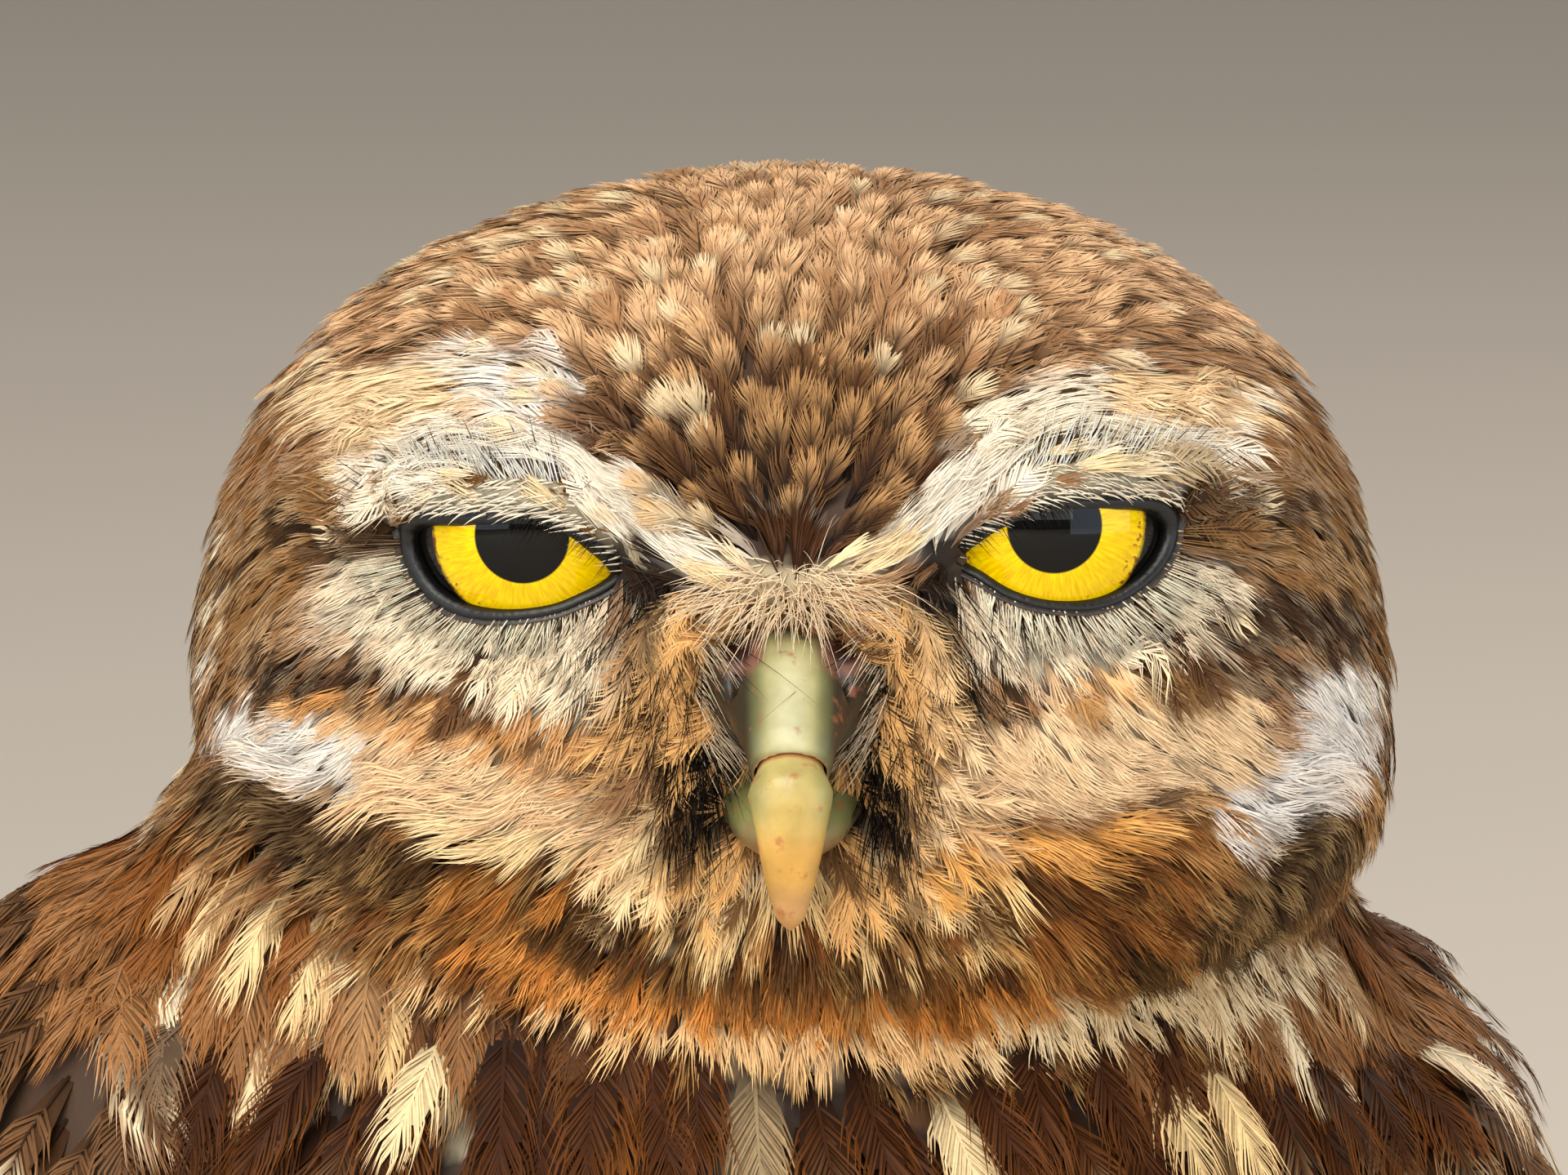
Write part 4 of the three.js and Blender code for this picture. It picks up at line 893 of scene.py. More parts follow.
# The rest of the head: direction from its middle, and the lie there.
HEAD_FLOW = [
    ((0, -0.3, 1), (0, 1, 0.2)), ((0, 0.4, 1), (0, 1, -0.2)), ((0, 1, 0.3), (0, 0.2, -1)),
    ((0, 1, -0.6), (0, 0, -1)),
    ((1, -0.1, 0.2), (0.1, 0.55, -0.8)), ((1, 0, 0.9), (0.4, 0.8, -0.4)), ((1, -0.1, -0.7), (0.1, 0.25, -1)),
    ((1, 1, 0.2), (0, 0.3, -1)), ((1, 0.9, -0.8), (0, 0, -1)), ((1, -0.8, -1.2), (0.3, 0, -1)),
    ((0.6, 1, 0.8), (0.2, 0.7, -0.7)),
]


def seen_skin(x, z):
    """The point and normal of the hide at a place on the face."""
    hit = skin_tree.ray_cast(Vector(viewpoint), Vector(sight_line(x, z)))
    if hit[0] is None:
        hit = skin_tree.find_nearest(Vector(between_eyes + ACROSS * x + OVER * z + AHEAD * 18))
    return np.array(hit[0]), np.array(hit[1])


guide_places, guide_ways = [], []
for mirror in (1, -1):
    for x, z, dx, dz in FACE_FLOW:
        if x == 0 and mirror < 0:
            continue
        guide_places.append(seen_skin(mirror * x, z)[0])
        guide_ways.append(ACROSS * dx * mirror + OVER * dz)
    for toward, way in HEAD_FLOW:
        if toward[0] == 0 and mirror < 0:
            continue
        toward = unit(np.array(toward, float) * [mirror, 1, 1])
        guide_places.append(HEAD_MIDDLE + toward * 34)
        guide_ways.append(np.array(way, float) * [mirror, 1, 1])
guide_places, guide_ways = np.array(guide_places), unit(np.array(guide_ways))


def head_flow(points, normals):
    """The lie of the head's feathers, from the guides near each point, but never into the lids' openings."""
    gap = np.linalg.norm(points[:, None] - guide_places[None], axis=2)
    weight = 1 / (gap**2 + 1.5) ** 2
    way = unit(np.einsum("ng,gc->nc", weight, guide_ways))
    near = np.nonzero(points[:, 1] < EYE_CENTRES["left"][1] + 2)[0]
    x, z = face_place(points[near])
    lid = outside_lids(x, z)
    step = 0.2
    dx, dz = outside_lids(x + step, z) - lid, outside_lids(x, z + step) - lid
    away = unit(ACROSS * dx[:, None] + OVER * dz[:, None])
    into = np.maximum(0.3 - np.sum(way[near] * away, axis=1), 0) * ramp(3.2, 1.0, lid)
    way[near] += away * into[:, None]
    return way


def body_flow(points, normals):
    """Down the body, and a little back round its sides."""
    down = np.tile([0.0, 0.12, -1.0], (len(points), 1))
    return down + normals * 0.05


CROWN_EDGE = np.array([
    (-60, 12), (-38.3, 11.2), (-28.5, 10.7), (-23.7, 10.3), (-17.9, 11.0), (-13.1, 11.7), (-13.4, 8.8),
    (-16.0, 6.7),
    (-11.9, 5.2), (-8.3, 2.8), (-7.6, 0.1), (-3.5, -1.9), (0.6, -2.4), (2.8, -1.9), (3.7, 0.1), (6.4, 1.8),
    (9.3, 5.9), (11.2, 7.6), (14.6, 9.5), (17.7, 11.0), (23.4, 11.7), (28.7, 11.2), (39.4, 10.2), (60, 12),
    (60, 60), (-60, 60),
])
BILL_OUTLINE = np.array([
    (-2.6, -5.2), (0, -5.4), (2.6, -5.2), (3.7, -8), (3.6, -11), (3.9, -14.5), (3.6, -17.2), (1.9, -18.8),
    (0, -19.2),
    (-1.9, -18.8), (-3.6, -17.2), (-3.9, -14.5), (-3.6, -11), (-3.7, -8),
])


def in_front(normals):
    return -(normals @ AHEAD) > 0.05


def bare_place(x, z):
    """The lids and the bill carry no feathers. The bare skin is widest over the eyes."""
    above = ramp(-1.2, 0.2, z) * ramp(11.5, 13.5, np.abs(x))
    return (outside_lids(x, z) < 0.25 + 1.3 * above) | within(x, z, BILL_OUTLINE)


def pale_place(points, normals, node):
    """Where the marking is cream or white, so that silky feathers grow there."""
    return markings(points, normals, node).mean(axis=1) > 0.36


def feathered_front(points, normals, node):
    """Which points of the head's front may hold feathers, and where they are seen."""
    x, z = face_place(points)
    return (node == 0) & in_front(normals) & ~bare_place(x, z), x, z


def crown_region(points, normals, node):
    may, x, z = feathered_front(points, normals, node)
    return may & within(x, z, CROWN_EDGE) & ~pale_place(points, normals, node)


GAIN, DEPTH_OF_TONE, PALEST = 1.25, 1.12, 0.84


def tinted(mark, form, luck, tip=None, tip_from=0.75, tip_share=0.0, spot=None, spot_share=0.0, shaft=None,
           ends=None, ends_share=0.0, bars=0, bar=None, bar_share=0.0, tone=0.14, foot=0.45):
    """Colours of a set of feathers: the marking's own colour, with a tip, a dark shaft, pale barb ends, a pair
    of spots or bars."""
    n, m = len(mark), len(form["x"])
    colour = np.repeat(mark[:, None, :], m, axis=1)
    along, across, barb = form["along"][None], form["across"][None], (form["role"] != 2)[None]

    def share_of(value):
        return (value if np.ndim(value) else np.full(n, value))[:, None]

    if ends is not None:
        colour = blended(colour, linear(ends), ramp(0.2, 1.0, form["end"])[None] * share_of(ends_share))
    if tip is not None:
        colour = blended(colour, linear(tip), ramp(tip_from, tip_from + 0.2,
                                                   along) * barb * share_of(tip_share))
    if bar is not None:
        wave = (along * bars + luck[:, 3:4] * 0.4) % 1.0
        colour = blended(colour, linear(bar), ramp(0.42, 0.5, wave) * ramp(1.0, 0.92,
                                                                           wave) * share_of(bar_share))
    if spot is not None:
        middle, size = 0.68 + 0.16 * luck[:, 1:2], 0.75 + 0.5 * luck[:, 3:4]
        gap = np.hypot((along - middle) / 0.15, (across - 0.45) / 0.4) / size
        colour = blended(colour, linear(spot), ramp(1.2, 0.75, gap) * barb * share_of(spot_share))
    if shaft is not None:
        colour = blended(colour, linear(shaft), (form["role"] == 1)[None] * 0.85 * np.ones((n, 1)))
    shade = 1 + tone * form["tone"][None] + 0.16 * (luck[:, 2:3] - 0.5)
    # darker towards the root, where the down is grey-brown, and the under vane at 0.55 as painted shade under
    # the barbs
    shade = shade * (1 - foot * ramp(0.5, 0.1, along)) * np.where(form["role"] == 2, 0.55, 1.0)[None]
    colour = np.maximum(GAIN * colour**DEPTH_OF_TONE * shade[..., None], 0.001)
    return colour * np.minimum(1, PALEST / colour.max(axis=-1, keepdims=True))


def deepened(colour, share):
    """The same colours, darker and redder by a share for each feather."""
    return colour * (1 - share[:, None, None] * np.array([0.08, 0.2, 0.42]))


def painted_tone(tree, pattern, **levels):
    """The colour painted on the mesh's points, made darker and lighter by a pattern."""
    shade = add_node(tree, "Attribute", {"attribute_name": "plumage"})
    depth = add_node(tree, "MapRange", Value=pattern, **levels)
    factors = {"i0": shade.outputs["Color"], "i1": depth.outputs["Result"]}
    return add_node(tree, "VectorMath", {"operation": "MULTIPLY"}, **factors).outputs["Vector"]


def link_surface(tree, shader, colour, relief=None):
    tree.links.new(colour, shader.inputs["Base Color"])
    if relief:
        tree.links.new(relief.outputs["Normal"], shader.inputs["Normal"])


def feather_material(name, roughness, glow):
    """Keratin barbs: matt with a faint silky sheen that lights their rims, and fine streaks along them, so that
    each barb is seen as a hair of its own colour."""
    material, tree, shader = new_material(name, Roughness=roughness, Specular_IOR_Level=0.12,
                                          Sheen_Weight=glow)
    shader.inputs["Sheen Roughness"].default_value = 0.4
    shader.inputs["Sheen Tint"].default_value = rgba("#e8b070")
    places = add_node(tree, "TexCoord")
    streaks = add_node(tree, "TexNoise", Vector=places.outputs["Object"], Scale=2600.0, Detail=2.0)
    link_surface(tree, shader, painted_tone(tree, streaks.outputs["Fac"], To_Min=0.78, To_Max=1.2))
    return material


contour_keratin = feather_material("contour feather keratin", 0.6, 0.06)
crown_plumes = [plume(10 + k, 5.6, 1.6, 21, bare=0.2, spread=(34, 10), curl=6, blade=0.5, twist=30,
                      camber=0.25,
                      under=0.4, ragged=0.2) for k in range(6)]


def paint_crown(mark, form, luck, places):
    x, z = face_place(places)
    forehead = ramp(14, 5, np.hypot(x * 0.9, z - 2))
    fade = 1 - 0.35 * forehead
    mark = mark * ((0.95 - 0.6 * forehead) * (0.8 + 0.4 * luck[:, 2]))[:, None]
    colour = tinted(mark, form, luck, ends="#c9a079", ends_share=(0.3 + 0.35 * luck[:, 0]) * fade,
                    tip="#d8b48c",
                    tip_from=0.62, tip_share=(0.35 + 0.5 * luck[:, 3]) * (luck[:, 3] > 0.2) * fade,
                    shaft="#2e1a0b", tone=0.2, foot=0.7)
    along, vane = form["along"], form["role"] != 2
    band = ramp(0.4, 0.5, along) * ramp(0.68, 0.58, along) * vane
    colour = colour * (1 - 0.5 * band[None] * (luck[:, 1:2] > 0.35))[..., None]
    colour = deepened(colour, forehead)
    fleck = (luck[:, 1] > 0.86 + 0.06 * forehead) * (0.5 + 0.4 * luck[:, 0])
    shape = ramp(0.5, 0.75, along - 0.2 * form["across"])[None] * vane[None]
    return blended(colour, linear("#ecd6ac") * 0.9, shape * fleck[:, None])


crown = grow("coat_crown", scatter(crown_region, 1.05, 21), head_flow, 5.2, 1.4, crown_plumes, paint_crown,
             contour_keratin, 22, steer=9, vary=0.2)
dress(crown, "head_plumage", "head")


# Brows, face and ruff. Silky narrow feathers along the brows, short ones that radiate from the eyes and the
# bill over the face, and longer soft ones on the ruff and the throat. Cream, buff and brown keratin.
BROW_LINE = np.array([(0, -3.4), (4.5, -2.2), (8, 0.3), (11, 3.4), (15, 6), (20, 7), (28, 6.5)])
BROW_HALF = 4.2


def brow_gap(points):
    x, z = face_place(points)
    return line_distance(np.abs(x), z, BROW_LINE)


def brow_region(points, normals, node):
    may, x, z = feathered_front(points, normals, node)
    return may & np.where(within(x, z, CROWN_EDGE), pale_place(points, normals, node),
                          brow_gap(points) < BROW_HALF)


def below_brows(short):
    """Where the short feathers of the face grow, or the longer ones of the ruff and the throat below them."""
    def region(points, normals, node):
        may, x, z = feathered_front(points, normals, node)
        clear = ~within(x, z, CROWN_EDGE) & (brow_gap(points) >= BROW_HALF)
        return may & clear & ((z > -17.5 + 0.0045 * x * x) == short)

    return region


silky_keratin = feather_material("silky feather keratin", 0.5, 0.08)
brow_tufts = [tuft(30 + k, 5.2, 0.62, 15, 0.11) for k in range(6)]
face_tufts = [tuft(40 + k, 4.4, 0.6, 14, 0.1) for k in range(7)]
ruff_tufts = [tuft(50 + k, 7.2, 1.0, 18, 0.13, foot=0.45) for k in range(7)]


def paint_brow(mark, form, luck, places):
    return tinted(mark, form, luck, tip="#f8ecd4", tip_share=0.3, tone=0.12, foot=0.35)


def paint_face(mark, form, luck, places):
    pale = ramp(0.2, 0.55, mark.mean(axis=1))
    dark = (luck[:, 0] > 0.84) * (0.8 - 0.35 * pale)
    mark = blended(mark, linear("#22130a"), dark)
    return tinted(mark, form, luck, ends="#f0dcb8", ends_share=0.25 * (luck[:, 1] > 0.5) * (1 - dark),
                  tone=0.22, foot=0.5)


def paint_ruff(mark, form, luck, places):
    pale = ramp(0.2, 0.55, mark.mean(axis=1))
    dark = (luck[:, 0] > 0.9) * 0.6 * (1 - pale)
    mark = blended(mark, linear("#2c1808"), dark)
    x, z = face_place(places)
    low = ramp(-17, -21, z) * ramp(32, 22, np.abs(x)) * (1 - 0.6 * pale)
    colour = tinted(mark, form, luck, ends="#e9c58c", ends_share=(0.1 + 0.3 * (luck[:, 1] > 0.6)) * (1 - dark),
                    tip="#f1d8aa", tip_from=0.82, tip_share=0.25 * (luck[:, 0] < 0.3) * (0.3 + 0.7 * pale),
                    tone=0.26, foot=0.6)
    return deepened(colour, low)


brows = grow("coat_brows", scatter(brow_region, 0.66, 31), head_flow, 5.0, 0.9, brow_tufts, paint_brow,
             silky_keratin, 32, steer=7, vary=0.2)
face = grow("coat_face", scatter(below_brows(True), 0.64, 41), head_flow, 4.2, 0.8, face_tufts, paint_face,
            silky_keratin, 42, steer=9, vary=0.25)
ruff = grow("coat_ruff", scatter(below_brows(False), 0.8, 51), head_flow, 6.0, 1.5, ruff_tufts, paint_ruff,
            silky_keratin, 52, steer=8, vary=0.25, stray=0.25)
for piece in (brows, face, ruff):
    dress(piece, "head_plumage", "head")


# Back of the head and nape. Longer, rounder contour feathers that fall back and down to the mantle. Brown
# with cream streaks and spots.
def nape_region(points, normals, node):
    return (node == 0) & ~in_front(normals)


nape_plumes = [plume(60 + k, 8.0, 2.2, 18, bare=0.25, spread=(38, 12), blade=0.5, twist=28, ragged=0.1)
               for k in range(5)]


def paint_nape(mark, form, luck, places):
    return tinted(mark * 0.85, form, luck, tip="#e6d3ad", tip_from=0.7, tip_share=0.8 * (luck[:, 1] > 0.7),
                  ends="#a9825a", ends_share=0.45, shaft="#33231a", tone=0.18)


nape = grow("coat_nape", scatter(nape_region, 1.9, 61), head_flow, 7.4, 1.2, nape_plumes, paint_nape,
            contour_keratin, 62)
dress(nape, "head_plumage", "head")


# Body. Broad soft contour feathers in overlapping rows down the breast, belly, back and thighs: dark brown
# with pairs of cream spots on the breast and back, cream with brown bars on the belly.
def body_region(*names):
    ranks = [NODE_ORDER.index(name) for name in names]
    return lambda points, normals, node: np.isin(node, ranks)


collar_plumes = [plume(66 + k, 10.6, 2.4, 27, bare=0.15, spread=(30, 8), curl=8, blade=0.5, twist=34,
                       ragged=0.25)
                 for k in range(4)]
breast_plumes = [plume(70 + k, 12.0, 3.3, 26, bare=0.2, spread=(34, 8), curl=8, blade=0.48, twist=30,
                       ragged=0.2)
                 for k in range(5)]
back_plumes = [plume(80 + k, 12.5, 3.9, 17, bare=0.28, spread=(48, 14), blade=0.5,
                     ragged=0.15) for k in range(4)]
BREAST_END, BARS_LOW, BARS_HIGH = 138, 55, 85  # heights between which the spots give way to bars


def paint_breast(mark, form, luck, places):
    height = places[:, 2]
    belly = ramp(BREAST_END, 108, height)
    front = ramp(112, 90, bearing_of(places))
    spotted = (luck[:, 0] > 0.3) * 0.9 * ramp(148, 140, height)
    colour = tinted(mark, form, luck, spot="#eadcbc", spot_share=(1 - belly * front) * spotted, bars=2,
                    bar="#6f4d30", bar_share=belly * front * ramp(BARS_LOW, BARS_HIGH, height) * 0.85,
                    ends="#a86c30", ends_share=(0.15 + 0.35 * luck[:, 3]) * (1 - belly), tone=0.22, foot=0.6)
    return deepened(colour, 0.55 * (1 - belly))


collar = grow("coat_collar", scatter(body_region("neck"), 1.4, 71), body_flow, 10.6, 1.6, collar_plumes,
              paint_breast, contour_keratin, 72, vary=0.2)
dress(collar, "mantle_plumage", "neck")


def trunk_side(back):
    return lambda points, normals, node: (node == TORSO) & ((bearing_of(points) > 100) == back)


breast = grow("coat_breast", scatter(trunk_side(False), 2.7, 73), body_flow, 12.0, 3.2, breast_plumes,
              paint_breast, contour_keratin, 74)
back = grow("coat_back", scatter(trunk_side(True), 3.0, 75), body_flow, 12.5, 3.2, back_plumes, paint_breast,
            contour_keratin, 76)
dress(breast, "breast_plumage", "torso")
dress(back, "breast_plumage", "torso")

leg_tufts = [tuft(90 + k, 5.0, 0.8, 10, 0.12) for k in range(4)]
thigh_plumes = [plume(94 + k, 9.0, 2.2, 15, bare=0.2, spread=(34, 8), blade=0.45,
                      ragged=0.22) for k in range(4)]


def paint_leg(mark, form, luck, places):
    return tinted(mark, form, luck, tip="#f6ead0", tip_share=0.4, tone=0.12, foot=0.3)


thighs = grow("coat_thighs", scatter(body_region("thigh_left", "thigh_right"), 2.0, 91), body_flow, 8.0, 2.0,
              thigh_plumes, paint_leg, silky_keratin, 92)
shanks = grow("coat_shanks", scatter(body_region("shank_left", "shank_right"), 1.0, 93), body_flow, 4.2, 0.7,
              leg_tufts, paint_leg, silky_keratin, 94)
dress(thighs, "leg_plumage", "thigh_left", "thigh_right")
dress(shanks, "leg_plumage", "shank_left", "shank_right")


# Wings. Each is a fan of stiff flight feathers in shingled rows, the primaries under the secondaries, with
# greater coverts over them and small coverts up to the shoulder. Brown keratin vanes with pale bars.
BODY_ASIDE = -1.5
BODY_LEAN = math.radians(4)
SHOULDER_HEIGHT = 160.0
EYE_FRONT = 24.6 + EYE_RADIUS * (1 - math.cos(math.radians(8)))  # of the eyeballs, ahead of the head's middle
FRAME_OFFSET = between_eyes * [1, 0, 0] + [0, float(EYE_BOXES["left"][0][1]) + EYE_FRONT, 0]


def hermite(*pairs):
    """A smooth curve through pairs of a place and its value."""
    places, values = np.array(pairs, float).T
    slopes = np.gradient(values, places)

    def value(at):
        at = np.clip(at, places[0], places[-1])
        k = np.clip(np.searchsorted(places, at, side="right") - 1, 0, len(places) - 2)
        span = places[k + 1] - places[k]
        t = (at - places[k]) / span
        return (
            values[k] * (1 + 2 * t) * (1 - t) ** 2 + slopes[k] * span * t * (1 - t) ** 2
            + values[k + 1] * t * t * (3 - 2 * t) + slopes[k + 1] * span * t * t * (t - 1)
        )

    return value


# Half the width and the depth of the trunk with its wings, at heights.
former_width = hermite((24, 13), (40, 21), (60, 32), (85, 42), (110, 47), (132, 48.5), (148, 46), (160, 39.5),
                       (170, 30))
former_depth = hermite((24, 63), (40, 59), (60, 51), (85, 42.5), (110, 39), (132, 38.5), (148, 37.5),
                       (160, 34.5),
                       (170, 29))


def body_to_frame(points):
    """From the trunk's own upright frame to the owl's."""
    x, y, z = points[..., 0], points[..., 1], points[..., 2] - SHOULDER_HEIGHT
    lean, level = math.sin(BODY_LEAN), math.cos(BODY_LEAN)
    aside, ahead = math.sin(BODY_TURN), math.cos(BODY_TURN)
    x, z = x * level + z * lean, -x * lean + z * level
    x, y = x * ahead - y * aside, x * aside + y * ahead
    return np.stack([x + BODY_ASIDE, y, z + SHOULDER_HEIGHT], axis=-1) + FRAME_OFFSET


def on_wing(z, bearing, out):
    """Points round the trunk at heights and bearings, out from its surface."""
    middle = 6 + 2 * ramp(110, 40, z)
    turn = np.radians(bearing)
    across, deep = former_width(z) + out, former_depth(z) + out
    return np.stack([across * np.sin(turn), middle - deep * np.cos(turn), z], -1)


QUILL_STEPS, QUILL_ACROSS = 30, 7
# The rows: height and bearing of the roots and of the tips, for the first and the last feather.
PRIMARIES = dict(count=7, first=((100, 92), (46, 140)), last=((96, 126), (25, 171)), half=6.2, out=-3.2,
                 step=0.75)
SECONDARIES = dict(count=9, first=((110, 96), (68, 127)), last=((112, 160), (52, 166)), half=6.8, out=2.4,
                   step=0.25)
GREATER = dict(count=8, first=((124, 78), (93, 100)), last=((126, 148), (80, 160)), half=6.6, out=4.7,
               step=0.15)
MEDIAN = dict(count=9, first=((138, 72), (112, 84)), last=((142, 148), (103, 158)), half=5.6, out=5.4,
              step=0.1,
              sunk=4.5)


# Shares along a vane from its root and across it from its shaft.
quill_s, quill_w = np.meshgrid(np.linspace(0, 1, QUILL_STEPS), np.linspace(-1, 1, QUILL_ACROSS), indexing="ij")


def round_end(s, start):
    """The width of a vane with a round tip, as a share."""
    tip = np.clip(1 - ((s - start) / (1 - start)) ** 2, 0, 1)
    return np.sqrt(np.where(s > start, tip, 1))


def quill_row(row, mirror, seed):
    """The vanes of one row, each with its points, its shares along and across, and its rank."""
    draw = np.random.default_rng(seed)
    s, w = quill_s, quill_w
    sets = []
    for n in range(row["count"]):
        share = n / (row["count"] - 1)
        (root_z, root_b), (tip_z, tip_b) = np.array(row["first"]) * (1 - share) + np.array(row["last"]) * share
        tip_z += draw.uniform(-1, 1)
        z = root_z + (tip_z - root_z) * s
        bearing = root_b + (tip_b - root_b) * s
        width = row["half"] * (0.7 + 0.3 * ramp(0, 0.4, s)) * round_end(s, 0.82)
        z = z + width * 0.12 * np.abs(w)
        turned = bearing + np.degrees(w * width / former_width(np.maximum(z, 60)))
        ripple = 0.12 * np.sin(s * 40 + w * 3 + draw.uniform(0, 6)) * np.abs(w)
        out = row["out"] + row["step"] * n - 0.55 * w * np.abs(w) - 0.3 * w * w
        out = out + ripple + 0.5 * (1 - np.abs(w)) ** 4
        out -= row.get("sunk", 0) * ramp(0.4, 0.0, s)
        points = on_wing(z, turned, out)
        if mirror:
            points = points * [-1, 1, 1]
        sets.append((body_to_frame(points).reshape(-1, 3), s.ravel(), w.ravel(), share))
    return sets


def grid_faces(start, flip):
    """The triangles of a vane, whose points start at a number."""
    faces = []
    for i in range(QUILL_STEPS - 1):
        for j in range(QUILL_ACROSS - 1):
            a = start + i * QUILL_ACROSS + j
            quad = (a, a + 1, a + QUILL_ACROSS + 1, a + QUILL_ACROSS)
            quad = quad[::-1] if flip else quad
            faces += [quad[:3], (quad[0], *quad[2:])]
    return faces


# Stiff vanes with fine slanting barb lines and a faint sheen. The lines are drawn coarse enough to show.
vane_keratin, tree, shader = new_material("flight feather keratin", Roughness=0.5, Specular_IOR_Level=0.35,
                                          Sheen_Weight=0.1)
lie = add_node(tree, "Attribute", {"attribute_name": "lie"})
barb_lines = add_node(tree, "TexWave", {"bands_direction": "Y"}, Vector=lie.outputs["Vector"], Scale=0.55,
                      Distortion=0.6, Detail=2.0)
relief = add_node(tree, "Bump", Height=barb_lines.outputs["Fac"], Strength=0.6, Distance=0.0002)
link_surface(tree, shader, painted_tone(tree, barb_lines.outputs["Fac"], To_Min=0.8, To_Max=1.12), relief)
VANE_THICKNESS = 0.28


def vane_piece(name, sets, flip, half, length, bars, ground, bar, slot, node):
    """Vanes as one mesh with a little thickness, barred across."""
    places, faces, colours, lies = [], [], [], []
    start = 0
    for points, s, w, share in sets:
        places.append(points)
        faces += grid_faces(start, flip)
        start += len(points)
        phase = (s * bars + (share * 7.3) % 1.0 * 0.6 - 0.1 * np.abs(w)) % 1.0
        gap = np.hypot((phase - 0.5) / 0.26, (np.abs(w) - 0.62) / 0.4)
        pale = ramp(1.1, 0.75, gap) * ramp(0.12, 0.2, s) * 0.9
        edge = ramp(0.94, 0.985, s) * 0.55
        colour = np.tile(linear(ground), (len(s), 1)) * (0.9 + 0.2 * (1 - np.abs(w)))[:, None]
        colour = blended(colour, linear(bar), np.maximum(pale, edge))
        colour = blended(colour, linear("#3a281b"), ramp(0.09, 0.0, np.abs(w)) * 0.6)
        colours.append(colour)
        lies.append(np.stack([w * half, s * length - np.abs(w) * half * 1.1, 0 * s], axis=1))
    piece = mesh_piece(name, np.concatenate(places), np.array(faces), vane_keratin)
    paint_vertices(piece.data, np.concatenate(colours))
    layer = piece.data.attributes.new("lie", "FLOAT_VECTOR", "POINT")
    layer.data.foreach_set("vector", np.concatenate(lies).ravel())
    wall = piece.modifiers.new("thickness", "SOLIDIFY")
    wall.thickness = VANE_THICKNESS * MM
    wall.offset = 0
    dress(piece, slot, node)


WING_BROWN, WING_BAR = "#5e4129", "#d6bd90"
WING_ROWS = (
    ("primaries", PRIMARIES, 6, 85), ("secondaries", SECONDARIES, 5, 58), ("greater", GREATER, 3, 40),
    ("median", MEDIAN, 2, 34),
)
for side, mirror in (("left", False), ("right", True)):
    for rank, (label, row, bars, length) in enumerate(WING_ROWS):
        sets = quill_row(row, mirror, 100 + rank)
        vane_piece(f"wing_{side}_{label}", sets, not mirror, row["half"], length, bars, WING_BROWN, WING_BAR,
                   "wing_feathers", "wing_" + side)

COVERTS_LOW = 116.0
covert_plumes = [plume(110 + k, 9.0, 3.1, 16, bare=0.28, spread=(50, 15), blade=0.5,
                       ragged=0.12) for k in range(5)]


def wing_flow(points, normals):
    return np.tile([0.0, 0.3, -1.0], (len(points), 1))


def covert_region(points, normals, node):
    return body_region("wing_left", "wing_right")(points, normals, node) & (points[:, 2] > COVERTS_LOW)


def paint_covert(mark, form, luck, places):
    return tinted(mark, form, luck, spot="#eddcb8", spot_share=0.9 * (luck[:, 0] > 0.5), ends="#9a7248",
                  ends_share=0.45, shaft="#2e2017", tone=0.15)


coverts = grow("coat_coverts", scatter(covert_region, 2.5, 111), wing_flow, 9.5, 2.8, covert_plumes,
               paint_covert, contour_keratin, 112, vary=0.2)
dress(coverts, "wing_feathers", "wing_left", "wing_right")


# Tail. Twelve short stiff rectrices in a shallow fan, the middle pair on top, and soft feathers over the
# rump. Brown vanes with buff bars.
TAIL_COUNT = 12
tail_root, tail_tip = np.array([0, 30, 92.0]), np.array([0, 57, 21.0])
tail_along = unit(tail_tip - tail_root)
tail_over = -np.cross([1, 0, 0], tail_along)
TAIL_LENGTH = float(np.linalg.norm(tail_tip - tail_root))
TAIL_STEP, TAIL_SPLAY = 0.9, 1.1  # from feather to feather, in millimetres at the root and in degrees
s, w = quill_s, quill_w
sets = []
for n in range(TAIL_COUNT):
    place = n - (TAIL_COUNT - 1) / 2
    share = abs(place) / (TAIL_COUNT / 2)
    fan = math.radians(TAIL_SPLAY * place)
    length = TAIL_LENGTH * (1 - 0.05 * share * share)
    width = (3.2 + 1.5 * ramp(0, 0.5, s)) * round_end(s, 0.85)
    down = (0.2 + 0.8 * s) * length - 0.6 * np.abs(w)
    spacing = TAIL_STEP + down * math.sin(math.radians(TAIL_SPLAY))
    slope = w * width * np.sign(place) * 0.9 / spacing + 0.35 * (1 - np.abs(w)) ** 3
    points = (
        tail_root + tail_along * (down * math.cos(fan))[..., None]
        + ACROSS * (down * math.sin(fan) + place * TAIL_STEP + w * width)[..., None]
        + tail_over * (slope + (0.9 if 0 < place < 1 else 0))[..., None]
    )
    sets.append((body_to_frame(points).reshape(-1, 3), s.ravel(), w.ravel(), 0.2 * share))
vane_piece("tail_rectrices", sets, False, 4.7, 60, 5, "#6b4c33", "#d8bd90", "tail_feathers", "tail")
rump = grow("coat_rump", scatter(body_region("tail"), 2.8, 121), body_flow, 11.0, 2.2, back_plumes,
            paint_breast, contour_keratin, 122)
dress(rump, "tail_feathers", "tail")


# Eyes. A glossy ball with a slightly bulging clear front, a bright yellow iris with orange-brown flecks at
# its rim, and a round black pupil.
IRIS_RADIUS, PUPIL_RADIUS, CORNEA_BULGE = 5.9, 2.84, 0.35
PUPIL_PLACES = {"right": (-16.05, -0.34), "left": (15.76, 0.32)}


